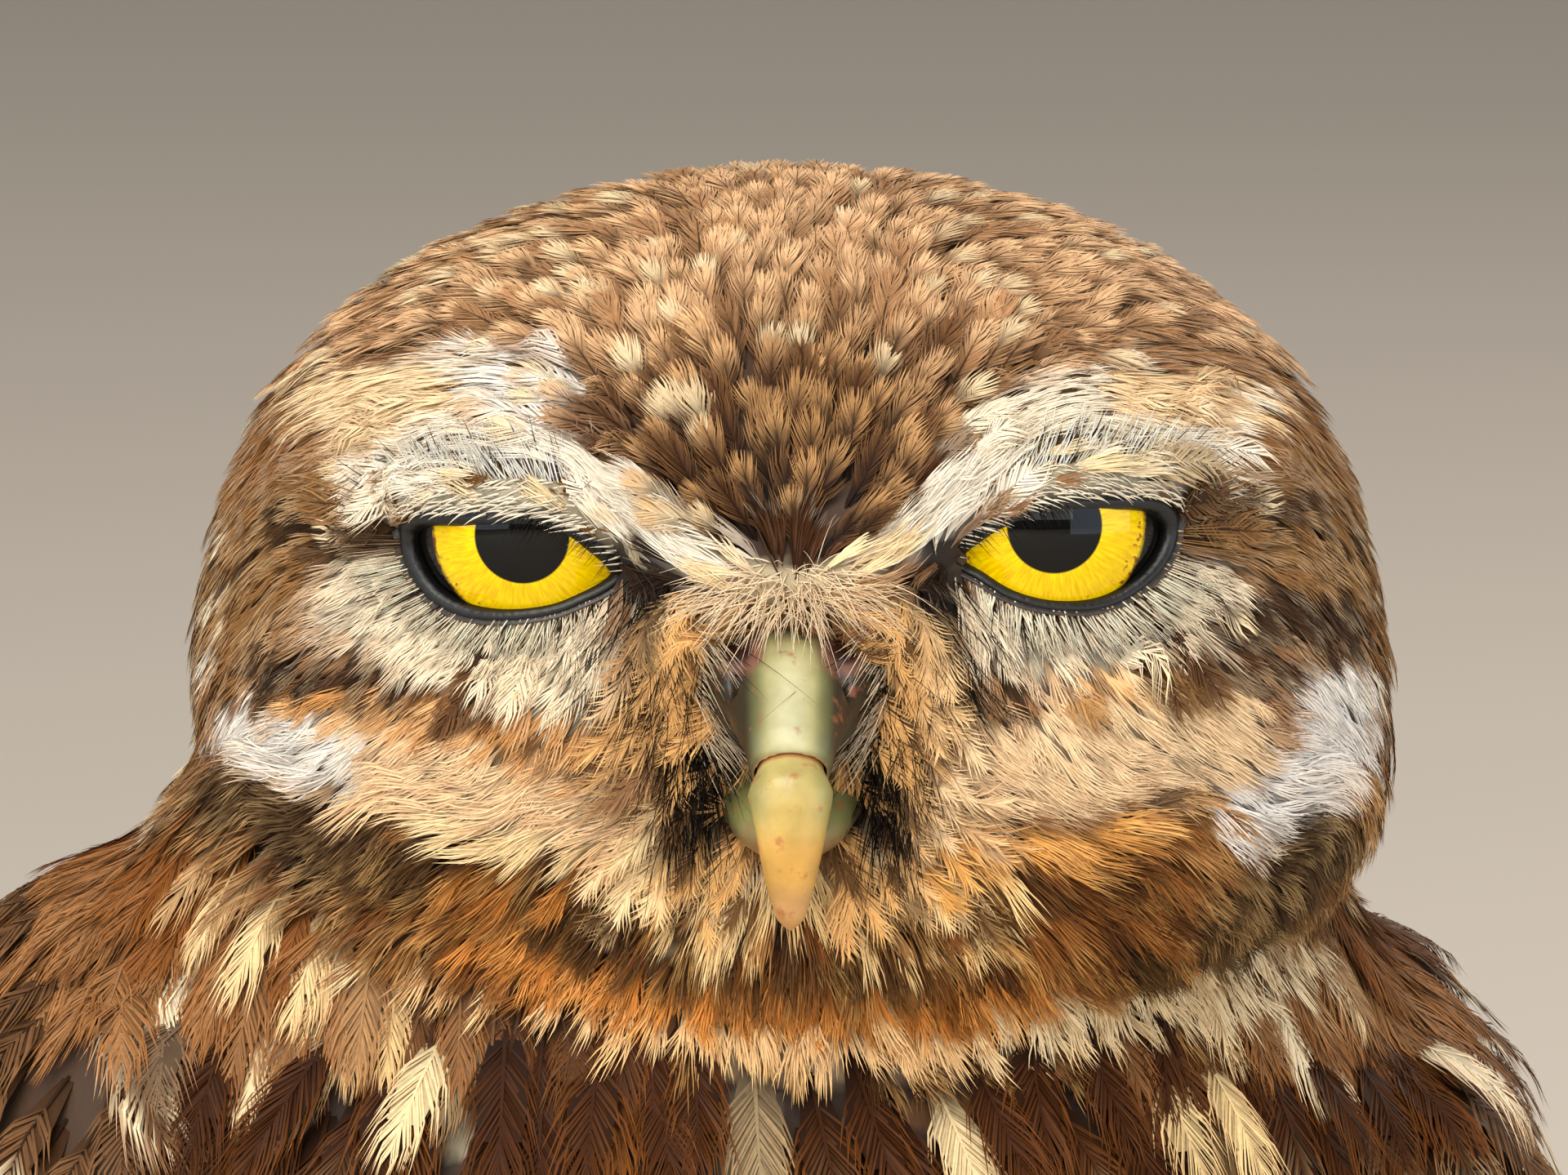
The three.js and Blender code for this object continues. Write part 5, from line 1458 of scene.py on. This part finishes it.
def sphere_hit(origin, way, centre, radius):
    """Where a line first meets a sphere, or the point of it nearest to the line."""
    out = centre - origin
    along = out @ way
    miss = out @ out - along**2
    if miss >= radius * radius:
        nearest = origin + way * along
        return centre + unit(nearest - centre) * radius
    return origin + way * (along - math.sqrt(radius * radius - miss))


# Wet jelly under a clear coat, whose sharp gloss shows the lights. Its pattern is worked out in millimetres
# from the middle of the pupil.
eye_jelly, tree, shader = new_material("wet eye", Roughness=0.4, Specular_IOR_Level=0.0, Coat_Weight=1.0,
                                      Coat_Roughness=0.01, Coat_IOR=1.34)
where = add_node(tree, "Attribute", {"attribute_name": "iris_place"})
parts = add_node(tree, "SeparateXYZ", Vector=where.outputs["Vector"])
across, over = parts.outputs[0], parts.outputs[1]


def reckon(operation, first, second=0.0):
    """The result of a sum on two values."""
    return add_node(tree, "Math", {"operation": operation}, i0=first, i1=second).outputs[0]


def levelled(value, low, high, **ends):
    """A value spread from 0 at low to 1 at high, or between other ends."""
    return add_node(tree, "MapRange", Value=value, From_Min=low, From_Max=high, **ends).outputs[0]


def over_colour(base, other, share):
    return add_node(tree, "Mix", {"data_type": "RGBA"}, i0=share, i6=base, i7=other).outputs[2]


radius = reckon("SQRT", reckon("ADD", reckon("MULTIPLY", across, across), reckon("MULTIPLY", over, over)))
angle = reckon("ARCTAN2", over, across)
spoke = add_node(tree, "CombineXYZ", X=reckon("MULTIPLY", angle, 14.0), Y=reckon("MULTIPLY", radius, 0.7))
fibres = add_node(tree, "TexNoise", Vector=spoke.outputs[0], Scale=1.6, Detail=4.0)
yellow = add_node(tree, "ValToRGB", Fac=fibres.outputs["Fac"])
yellow.color_ramp.elements[0].position, yellow.color_ramp.elements[1].position = 0.3, 0.7
end_colours(yellow, "#e3ad00", "#fadc00")
fleck_noise = add_node(tree, "TexNoise", Vector=where.outputs["Vector"], Scale=2.2, Detail=3.0)
fleck_rim = levelled(radius, 3.9, IRIS_RADIUS, To_Min=-0.2, To_Max=0.14)
fleck = levelled(reckon("ADD", fleck_noise.outputs["Fac"], fleck_rim), 0.62, 0.7)
flecked = over_colour(yellow.outputs["Color"], rgba("#9a5a10"), fleck)
rimmed = over_colour(flecked, (0.002, 0.0015, 0.001, 1), levelled(radius, IRIS_RADIUS - 0.4,
                                                                  IRIS_RADIUS - 0.1))
pupil_edge = levelled(radius, PUPIL_RADIUS + 0.07, PUPIL_RADIUS - 0.03)
link_surface(tree, shader, over_colour(rimmed, (0.001, 0.001, 0.001, 1), pupil_edge))
for side, centre in EYE_CENTRES.items():
    hit = sphere_hit(viewpoint, sight_line(*PUPIL_PLACES[side]), centre, EYE_RADIUS + CORNEA_BULGE)
    axis = unit(hit - centre)
    ball = bmesh.new()
    bmesh.ops.create_uvsphere(ball, u_segments=96, v_segments=64, radius=EYE_RADIUS)
    mesh = bpy.data.meshes.new("eyeball_" + side)
    ball.to_mesh(mesh)
    ball.free()
    local = vertex_table(mesh)[0] * MM
    turn = np.array(Vector((0, 0, 1)).rotation_difference(Vector(axis)).to_matrix())
    off_axis = np.degrees(np.arccos(np.clip(local[:, 2] / EYE_RADIUS, -1, 1)))
    bulge = CORNEA_BULGE * ramp(48, 10, off_axis)
    local *= ((EYE_RADIUS + bulge) / EYE_RADIUS)[:, None]
    move_vertices(mesh, local @ turn.T + centre)
    layer = mesh.attributes.new("iris_place", "FLOAT_VECTOR", "POINT")
    behind = (local[:, 2] < 0)[:, None] * np.array([20.0, 0, 0])
    layer.data.foreach_set("vector", (local + behind).ravel())
    mesh.shade_smooth()
    dress(link_piece("eyeball_" + side, mesh, eye_jelly), "eye", "eye_" + side)


# Eyelids. A rim of bare blue-grey skin with a wet black inner margin round each eye, wrinkled grey skin on
# the upper lid, rows of short white filaments on it, and a few black lashes at its inner end.
LID_PROFILE = [
    (-0.4, -1.2), (-0.34, -0.15), (-0.14, 0.18), (0.06, 0.3), (0.26, 0.3), (0.44, 0.2), (0.66, 0.3),
    (1.1, 0.55),
    (1.7, 0.62), (2.3, 0.5), (2.7, 0.1), (2.7, -0.8),
]
LID_RIM = 0.44  # how far the wet margin reaches
LID_STEPS = 220


def lid_line(side):
    """The opening's outline as places on the face, with the way out from it and how far it is an upper edge."""
    line = closed_line(LID_OPENINGS[side], LID_STEPS)
    along = np.roll(line, -2, axis=0) - np.roll(line, 2, axis=0)
    out = unit(np.stack([along[:, 1], -along[:, 0]], axis=1))
    if np.sum(out * (line - line.mean(axis=0))) < 0:
        out = -out
    return line, out, ramp(0.0, 0.6, out[:, 1])


def flatly(ways):
    """Ways across and up the face as directions."""
    return ACROSS * ways[:, :1] + OVER * ways[:, 1:]


def on_lid(line, out, reach, lift):
    """Points of the lids, reach out from the opening and lift off the eye, with the normals there."""
    place = line + out * np.reshape(reach, (-1, 1))
    return lid_surface(place[:, 0], place[:, 1], lift)


# Bare moist skin with fine wrinkles and creases, which breaks its gloss up.
lid_skin, tree, shader = new_material("bare lid skin", Roughness=0.42, Specular_IOR_Level=0.5)
places = add_node(tree, "TexCoord").outputs["Object"]
wrinkles = add_node(tree, "TexNoise", Vector=places, Scale=2200.0, Detail=4.0).outputs["Fac"]
creases = add_node(tree, "TexVoronoi", {"feature": "DISTANCE_TO_EDGE"}, Vector=places, Scale=1700.0)
height = add_node(tree, "Math", {"operation": "ADD"}, i0=wrinkles, i1=creases.outputs["Distance"])
relief = add_node(tree, "Bump", Height=height.outputs[0], Strength=0.35, Distance=0.0001)
skin_tone = painted_tone(tree, wrinkles, From_Min=0.3, From_Max=0.7, To_Min=0.7, To_Max=1.25)
link_surface(tree, shader, skin_tone, relief)


def strands(name, roots, ways, ups, lengths, widths, bend, colours, rings=5):
    """Fine tapered filaments of three sides, bent towards ups by bend times their length."""
    n = len(roots)
    side = unit(np.cross(ways, ups))
    t = np.linspace(0, 1, rings)
    line = (
        roots[:, None] + ways[:, None] * (lengths[:, None] * t)[..., None]
        + ups[:, None] * (bend[:, None] * lengths[:, None] * t**2)[..., None]
    )
    thick = widths[:, None] / 2 * (1 - 0.9 * t**1.5)
    places = []
    for k in range(3):
        turn = 2 * math.pi * k / 3
        places.append(line + (side[:, None] * math.cos(turn) + ups[:, None] * math.sin(turn)) * thick[...,
                                                                                                      None])
    places = np.stack(places, axis=2).reshape(-1, 3)
    faces = []
    for i in range(rings - 1):
        for k in range(3):
            a, b = i * 3 + k, i * 3 + (k + 1) % 3
            faces += [(a, b, b + 3), (a, b + 3, a + 3)]
    end = (rings - 1) * 3
    faces += [(0, 2, 1), (end, end + 1, end + 2)]
    faces = np.array(faces)[None] + (np.arange(n) * rings * 3)[:, None, None]
    piece = mesh_piece(name, places, faces.reshape(-1, 3), bristle_keratin)
    paint_vertices(piece.data, np.repeat(colours, rings * 3, axis=0))
    dress(piece, "head_plumage")


bristle_keratin = feather_material("bristle keratin", 0.4, 0.0)
draw = np.random.default_rng(130)
for side in ("left", "right"):
    line, out, upper = lid_line(side)
    away = ACROSS * (1 if side == "left" else -1)
    count = len(LID_PROFILE)
    rows = []
    for reach, lift in LID_PROFILE:
        wide = min(reach, LID_RIM) * (0.45 + 0.55 * upper) + max(reach - LID_RIM, 0) * (0.1 + 0.9 * upper)
        rows.append(on_lid(line, out, wide, lift * (0.6 + 0.4 * upper))[0])
    places = np.stack(rows, axis=1)
    reach = np.tile([p[0] for p in LID_PROFILE], (LID_STEPS, 1))
    colour = np.tile(linear("#080707"), (LID_STEPS, count, 1))
    colour = blended(colour, linear("#8b8169"), ramp(LID_RIM, 0.9, reach) * upper[:, None])
    colour = blended(colour, linear("#3a3029"), ramp(LID_RIM, 1.0, reach) * (1 - upper[:, None]))
    places = places.reshape(-1, 3)
    faces = []
    for i in range(LID_STEPS):
        for k in range(count):
            a, b = i * count + k, i * count + (k + 1) % count
            c, d = ((i + 1) % LID_STEPS) * count + k, ((i + 1) % LID_STEPS) * count + (k + 1) % count
            faces += [(a, b, d), (a, d, c)]
    lid = mesh_piece("eyelid_" + side, places, np.array(faces), lid_skin)
    fixed = bmesh.new()
    fixed.from_mesh(lid.data)
    bmesh.ops.recalc_face_normals(fixed, faces=fixed.faces)
    fixed.to_mesh(lid.data)
    fixed.free()
    paint_vertices(lid.data, colour.reshape(-1, 3))
    dress(lid, "head_plumage")

    # white filaments in rows on the upper lid, which lie outwards along it
    roots, ways, ups = [], [], []
    for row, reach in enumerate((0.5, 0.8, 1.15, 1.5, 1.9, 2.3)):
        picks = np.nonzero(upper > 0.6)[0][row % 2 :: 2]
        picks = picks[draw.random(len(picks)) > 0.12]
        point, normal = on_lid(line[picks], out[picks], reach + draw.uniform(-0.12, 0.12, len(picks)), 0.5)
        flat = flatly(out[picks])
        spread = draw.uniform(0.5, 1.0, (len(picks), 1))
        roots.append(point)
        ways.append(unit(normal * 0.3 + away * spread + flat * draw.uniform(-0.3, 0.15, (len(picks), 1))))
        ups.append(unit(-normal * 0.7 - flat * 0.35 + away * 0.2))
    roots, ways, ups = np.concatenate(roots), np.concatenate(ways), np.concatenate(ups)
    n = len(roots)
    white = np.tile(linear("#f2e6cf"), (n, 1)) * draw.uniform(0.75, 1.0, (n, 1))
    strands(f"lid_filaments_{side}", roots, ways, ups, draw.uniform(0.9, 1.6, n), np.full(n, 0.17),
            draw.uniform(0.3, 0.6, n), white)

    # cream beads along the lower rim
    picks = np.nonzero(upper < 0.05)[0][::2]
    point, normal = on_lid(line[picks], out[picks], 0.22 + draw.uniform(-0.04, 0.08, len(picks)), 0.1)
    flat = flatly(out[picks])
    n = len(picks)
    cream = np.tile(linear("#e0c498"), (n, 1)) * draw.uniform(0.4, 1.0, (n, 1))
    strands(f"lid_beads_{side}", point, unit(flat + normal * 0.5 + away * 0.4), -normal,
            draw.uniform(0.4, 0.8, n), np.full(n, 0.16), draw.uniform(0.1, 0.3, n), cream)

    # silky hair-like feathers that start at the lids' outer edge and lie away from the eye
    roots, ways, ups, tints = [], [], [], []
    for low_reach, high_reach in ((0.3, 1.9), (0.55, 2.3), (0.85, 2.7), (1.2, 3.1), (1.6, 3.5)):
        reach = low_reach + (high_reach - low_reach) * upper + draw.uniform(-0.15, 0.15, LID_STEPS)
        point, normal = on_lid(line, out, reach, 0.1)
        leans = draw.uniform(0.2, 0.9, (LID_STEPS, 1)), draw.uniform(0.1, 0.35, (LID_STEPS, 1))
        way = unit(flatly(out) + away * leans[0] + normal * leans[1])
        roots.append(point)
        ways.append(way)
        ups.append(-normal)
        mark = markings(point + way * 2.0 + draw.normal(0, 0.3, point.shape), normal, np.zeros(LID_STEPS, int))
        dark = (draw.random(LID_STEPS) < 0.16)[:, None]
        pale = np.minimum(mark * draw.uniform(0.75, 1.15, (LID_STEPS, 1)), 0.8)
        tints.append(np.where(dark, linear("#2a190d"), pale))
    roots, ways, ups, tints = (np.concatenate(rows) for rows in (roots, ways, ups, tints))
    n = len(roots)
    strands(f"lid_fringe_{side}", roots, ways, ups, draw.uniform(1.8, 3.4, n), np.full(n, 0.13),
            draw.uniform(0.05, 0.2, n), tints, rings=4)

    # black lashes that hang over the iris at its inner end
    inner = np.nonzero((out[:, 1] > 0.1) & (np.abs(line[:, 0]) < 16.5))[0]
    picks = draw.choice(inner, 40)
    n = len(picks)
    point, normal = on_lid(line[picks], out[picks], draw.uniform(-0.05, 0.5, n), 0.4)
    flat = flatly(out[picks])
    black = np.tile(linear("#15100c"), (n, 1))
    way = unit(normal * 0.6 - flat * 0.6 + away * draw.uniform(0.1, 0.6, (n, 1)))
    strands(f"lashes_{side}", point, way, unit(-flat - normal * 0.4), draw.uniform(0.9, 1.9, n),
            np.full(n, 0.07), draw.uniform(0.2, 0.5, n), black)


# Bill. A hooked horn sheath, pale yellow-tan with a greenish base, under a soft raised cere with two round
# nostrils, and a short lower bill that closes into it. Smooth, slightly waxy horn.
def fine_copy(name, node, voxel, rounds, material, slot):
    """A node's shape as a fine even mesh that stands for it."""
    piece = evened(name, [node_shape(node)], voxel, rounds)
    piece.data.materials.append(material)
    dress(piece, slot, node)
    return piece


def horn_material(name, speck, roughness):
    """Horn or waxy skin, whose gloss shows its ridge as one soft light line. Its own colour carries fine pale
    streaks and reddish specks, so that it looks grown and worn."""
    material, tree, shader = new_material(name, Roughness=roughness, Specular_IOR_Level=0.5)
    places = add_node(tree, "TexCoord").outputs["Object"]
    blotch = add_node(tree, "TexNoise", Vector=places, Scale=420.0, Detail=5.0).outputs["Fac"]
    tone = painted_tone(tree, blotch, From_Min=0.3, From_Max=0.7, To_Min=0.8, To_Max=1.15)
    specks = add_node(tree, "TexNoise", Vector=places, Scale=800.0, Detail=3.0, Roughness=0.6)
    share = add_node(tree, "MapRange", Value=specks.outputs["Fac"], From_Min=0.6, From_Max=0.7, To_Max=0.6)
    speckled = add_node(tree, "Mix", {"data_type": "RGBA"}, i0=share.outputs[0], i6=tone, i7=rgba(speck))
    relief = add_node(tree, "Bump", Height=blotch, Strength=0.3, Distance=0.0003)
    link_surface(tree, shader, speckled.outputs[2], relief)
    return material


bill_horn = horn_material("bill horn", "#a85a2c", 0.36)
cere_wax = horn_material("cere skin", "#9a5638", 0.42)
# The horn swells a little under the cere and the cere thins towards it, so that they meet flush.
bill = fine_copy("bill", "bill_upper", 0.25, 12, bill_horn, "bill_horn")
bill_under = fine_copy("bill_under", "bill_lower", 0.25, 12, bill_horn, "bill_horn")
cere = fine_copy("cere_skin", "cere", 0.25, 12, cere_wax, "cere_skin")
for piece, rise, (high, low) in ((bill, 0.28, (-17.5, -14.5)), (bill_under, 0, (0, 1)),
                                 (cere, -0.32, (-11.5, -14.0))):
    points, normals = vertex_table(piece.data)
    swell = 0.1 + rise * ramp(high, low, face_place(points)[1])
    move_vertices(piece.data, points + normals * swell[:, None])


def surface_tree(piece):
    return BVHTree.FromPolygons(vertex_table(piece.data)[0].tolist(), triangle_table(piece.data).tolist())


def seam_share(piece, other, width):
    """1 on the line where a piece meets another, 0 beyond the width."""
    points = vertex_table(piece.data)[0].tolist()
    gaps = [other.find_nearest(p, width * 1.01)[3] for p in points]
    return ramp(width, 0.3 * width, np.array([width * 1.01 if g is None else g for g in gaps]))


def paint_layers(piece, ground, layers):
    """Paints a piece's points with a colour and, over it, layers of a colour and its share at x and z."""
    points = vertex_table(piece.data)[0]
    x, z = face_place(points)
    colour = np.tile(linear(ground), (len(points), 1))
    for shade, share in layers(np.abs(x), z):
        colour = blended(colour, linear(shade), share)
    paint_vertices(piece.data, colour)


cere_tree, horn_tree = surface_tree(cere), surface_tree(bill)
NOSTRIL = (3.25, -6.95)
paint_layers(bill, "#b7a665", lambda x, z: [
    ("#c2a556", ramp(-14.5, -17.0, z)), ("#cb9a48", ramp(-17.0, -19.5, z)), ("#d4a062", ramp(-20.5, -22.5, z)),
    # the sides of the horn's upper part darker olive, partly its own greener colour and partly painted shade
    # where they turn from the light
    ("#96935a", 0.75 * ramp(1.0, 2.3, x) * ramp(-18.5, -16.5, z)),
    ("#9c5330", 0.75 * seam_share(bill, cere_tree, 0.4)),
])
paint_layers(cere, "#a9a371", lambda x, z: [
    # a paler band down the middle of the top as a painted highlight, then olive and near black towards the
    # sides as painted shade
    ("#c0bb91", ramp(1.5, 0.3, x) * ramp(-6.0, -8.5, z)), ("#6b6a41", ramp(1.2, 2.1, x)),
    ("#2b2418", ramp(1.9, 2.8, x)), ("#7b5546", ramp(2.0, 1.3, np.hypot(x - NOSTRIL[0], z - NOSTRIL[1]))),
    # the dark nostril openings are painted shade in the holes
    ("#2c0f0a", ramp(1.2, 0.7, np.hypot(x - NOSTRIL[0], z - NOSTRIL[1]))),
    ("#c8966a", 0.6 * seam_share(cere, horn_tree, 0.35)),
])
# The lower bill's green-grey is its own greenish colour darkened as painted shade, and it is painted darker
# still towards its sides as painted shade.
paint_layers(bill_under, "#7c7b48", lambda x, z: [
    ("#4c4d30", ramp(2.4, 4.6, x)), ("#8a6a44", ramp(-17.0, -19.0, z)),
])


# Lores and bristles. Tan feathers like little ferns beside the bill, silky filaments that hang from the brows
# over its root, and long stiff dark hairs that curve down and outwards round it. Bare-shafted keratin.
def lore_region(points, normals, node):
    may, x, z = feathered_front(points, normals, node)
    return may & (np.abs(x) > 1.6) & (np.abs(x) < 9) & (z > -20.5) & (z < -3.6)


def paint_lores(mark, form, luck, places):
    x = face_place(places)[0]
    tan = blended(np.tile(linear("#d2a469"), (len(mark), 1)), linear("#4b2f18"), 0.85 * (luck[:, 0] > 0.72))
    tan = blended(tan, mark, ramp(6.5, 9.0, np.abs(x)))
    return tinted(tan, form, luck, ends="#ecc88e", ends_share=0.4 * (luck[:, 0] < 0.72), tone=0.2, foot=0.6)


lore_plumes = [plume(140 + k, 4.8, 1.2, 12, bare=0.08, spread=(34, 12), curl=-6, blade=0.35, twist=40,
                     under=0.1,
                     ragged=0.3) for k in range(5)]
lores = grow("coat_lores", scatter(lore_region, 0.85, 141), head_flow, 4.6, 2.2, lore_plumes, paint_lores,
             silky_keratin, 142, steer=14, vary=0.25)
dress(lores, "head_plumage", "head")

draw = np.random.default_rng(143)
hairs = []
FACE_BASIS = np.array([ACROSS, OVER, -AHEAD])


def add_hair(x, z, way, bend, size, tint, width):
    """One hair from a place on the face. way and bend are given across, up and towards the viewer."""
    way, bend = unit(np.array(way) @ FACE_BASIS), unit(np.array(bend) @ FACE_BASIS)
    hairs.append((seen_skin(x, z)[0], way, bend, size, width, tint))


TAN_HAIR, DARK_HAIR = linear("#ffe6c2"), linear("#15100d")
# tan filaments that lean in over the sides of the cere, and dark ones in the hollows below them
for _ in range(260):
    mirror = draw.choice((-1, 1))
    x, z = mirror * draw.uniform(4.6, 6.4), draw.uniform(-12.0, -5.0)
    way = (-mirror * draw.uniform(0.3, 0.8), draw.uniform(-0.9, -0.2), draw.uniform(0.7, 1.2))
    size, tint = draw.uniform(3.0, 5.6), TAN_HAIR * draw.uniform(0.5, 0.95)
    add_hair(x, z, way, (-mirror * 0.4, -0.9, -0.3), size, tint, 0.13)
for _ in range(320):
    mirror = draw.choice((-1, 1))
    x, z = mirror * draw.uniform(4.3, 7.4), draw.uniform(-17.0, -11.5)
    way = (mirror * draw.uniform(-0.4, 0.3), draw.uniform(-1.0, -0.3), draw.uniform(0.6, 1.1))
    add_hair(x, z, way, (0, -0.9, -0.3), draw.uniform(3.5, 7.0), DARK_HAIR, 0.11)
# the cream fringe that hangs over the root of the bill, long filaments and short
for _ in range(150):
    x, z = draw.normal(0, 2.4), draw.uniform(-5.2, -3.0)
    way = (0.16 * x + draw.normal(0, 0.3), draw.uniform(-0.6, 0.2), 1.0)
    bend = (0.05 * x, -1.0, draw.uniform(-0.3, 0.2))
    add_hair(x, z, way, bend, draw.uniform(2.4, 5.2), TAN_HAIR * draw.uniform(0.8, 1.0), 0.1)
for _ in range(220):
    x, z = draw.uniform(-4.2, 4.2), draw.uniform(-4.6, -1.8)
    way = (0.35 * x + draw.normal(0, 0.6), draw.normal(-0.1, 0.4), 0.45)
    add_hair(x, z, way, (0.1 * x, -0.6, -0.5), draw.uniform(2.0, 4.0), TAN_HAIR * draw.uniform(0.8, 1.0), 0.12)
# dark bristles outwards, across the cere, and at the inner corners of the eyes
for _ in range(260):
    mirror = draw.choice((-1, 1))
    x, z = mirror * draw.uniform(3.6, 9.0), draw.uniform(-15.0, -6.0)
    way = (mirror * draw.uniform(-0.35, 0.75), draw.uniform(-1.0, -0.3), draw.uniform(0.5, 1.1))
    bend = (mirror * draw.uniform(-0.2, 0.6), -1.0, -0.5)
    add_hair(x, z, way, bend, draw.uniform(3.5, 7.5), DARK_HAIR, 0.08)
for _ in range(70):
    mirror = draw.choice((-1, 1))
    x, z = mirror * draw.uniform(4.4, 6.2), draw.uniform(-12.0, -6.0)
    way = (-mirror * draw.uniform(0.35, 0.8), draw.uniform(-0.7, -0.1), 1.1)
    add_hair(x, z, way, (-mirror * 0.5, -0.8, -0.1), draw.uniform(6.5, 10.5), DARK_HAIR, 0.07)
for _ in range(340):
    mirror = draw.choice((-1, 1))
    x, z = mirror * draw.uniform(6.8, 10.8), draw.uniform(-9.0, -2.4)
    if outside_lids(np.array([x]), np.array([z]))[0] < 0.8:
        continue
    way = (mirror * draw.uniform(0.1, 1.0), draw.uniform(-1.1, -0.7), draw.uniform(0.3, 0.6))
    add_hair(x, z, way, (mirror * 0.5, -0.5, -0.6), draw.uniform(2.6, 5.5), DARK_HAIR, 0.09)
roots, ways, ups, sizes, widths, tints = (np.array(column) for column in zip(*hairs))
strands("bristles", roots, ways, ups, sizes, widths, draw.uniform(0.15, 0.5, len(hairs)), tints, rings=7)


# Feet. Bare toes with small grey-brown scales, each ending in a curved black claw. Tough scaly skin, polished
# horn.
SCALE_SEAM, SCALE, CLAW_BLACK, CLAW_BROWN = "#6e5f4c", "#b3a283", "#141010", "#3a322c"
# Dry skin of small raised scales, a millimetre wide, with darker seams.
scaly_skin, tree, shader = new_material("scaly toe skin", Roughness=0.55)
places = add_node(tree, "TexCoord").outputs["Object"]
scales = add_node(tree, "TexVoronoi", {"feature": "DISTANCE_TO_EDGE"}, Vector=places, Scale=1150.0)
seam = add_node(tree, "MapRange", Value=scales.outputs["Distance"], From_Max=0.12)
tint = add_node(tree, "ValToRGB", Fac=seam.outputs[0])
end_colours(tint, SCALE_SEAM, SCALE)
relief = add_node(tree, "Bump", Height=seam.outputs[0], Strength=0.8, Distance=0.0004)
link_surface(tree, shader, tint.outputs["Color"], relief)
# Smooth dark horn, polished by use, so that each claw shows one sharp light line.
claw_horn, tree, shader = new_material("claw horn", Roughness=0.25, Specular_IOR_Level=0.5)
places = add_node(tree, "TexCoord").outputs["Object"]
grain = add_node(tree, "TexNoise", Vector=places, Scale=700.0, Detail=3.0)
tint = add_node(tree, "ValToRGB", Fac=grain.outputs["Fac"])
end_colours(tint, CLAW_BLACK, CLAW_BROWN)
link_surface(tree, shader, tint.outputs["Color"])
for side in ("left", "right"):
    fine_copy("toes_" + side, "foot_" + side, 0.45, 2, scaly_skin, "toe_skin")
    for toe in ("inner", "middle", "outer", "hind"):
        fine_copy(f"talon_{toe}_{side}", f"claw_{toe}_{side}", 0.25, 2, claw_horn, "claw_horn")

low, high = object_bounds()
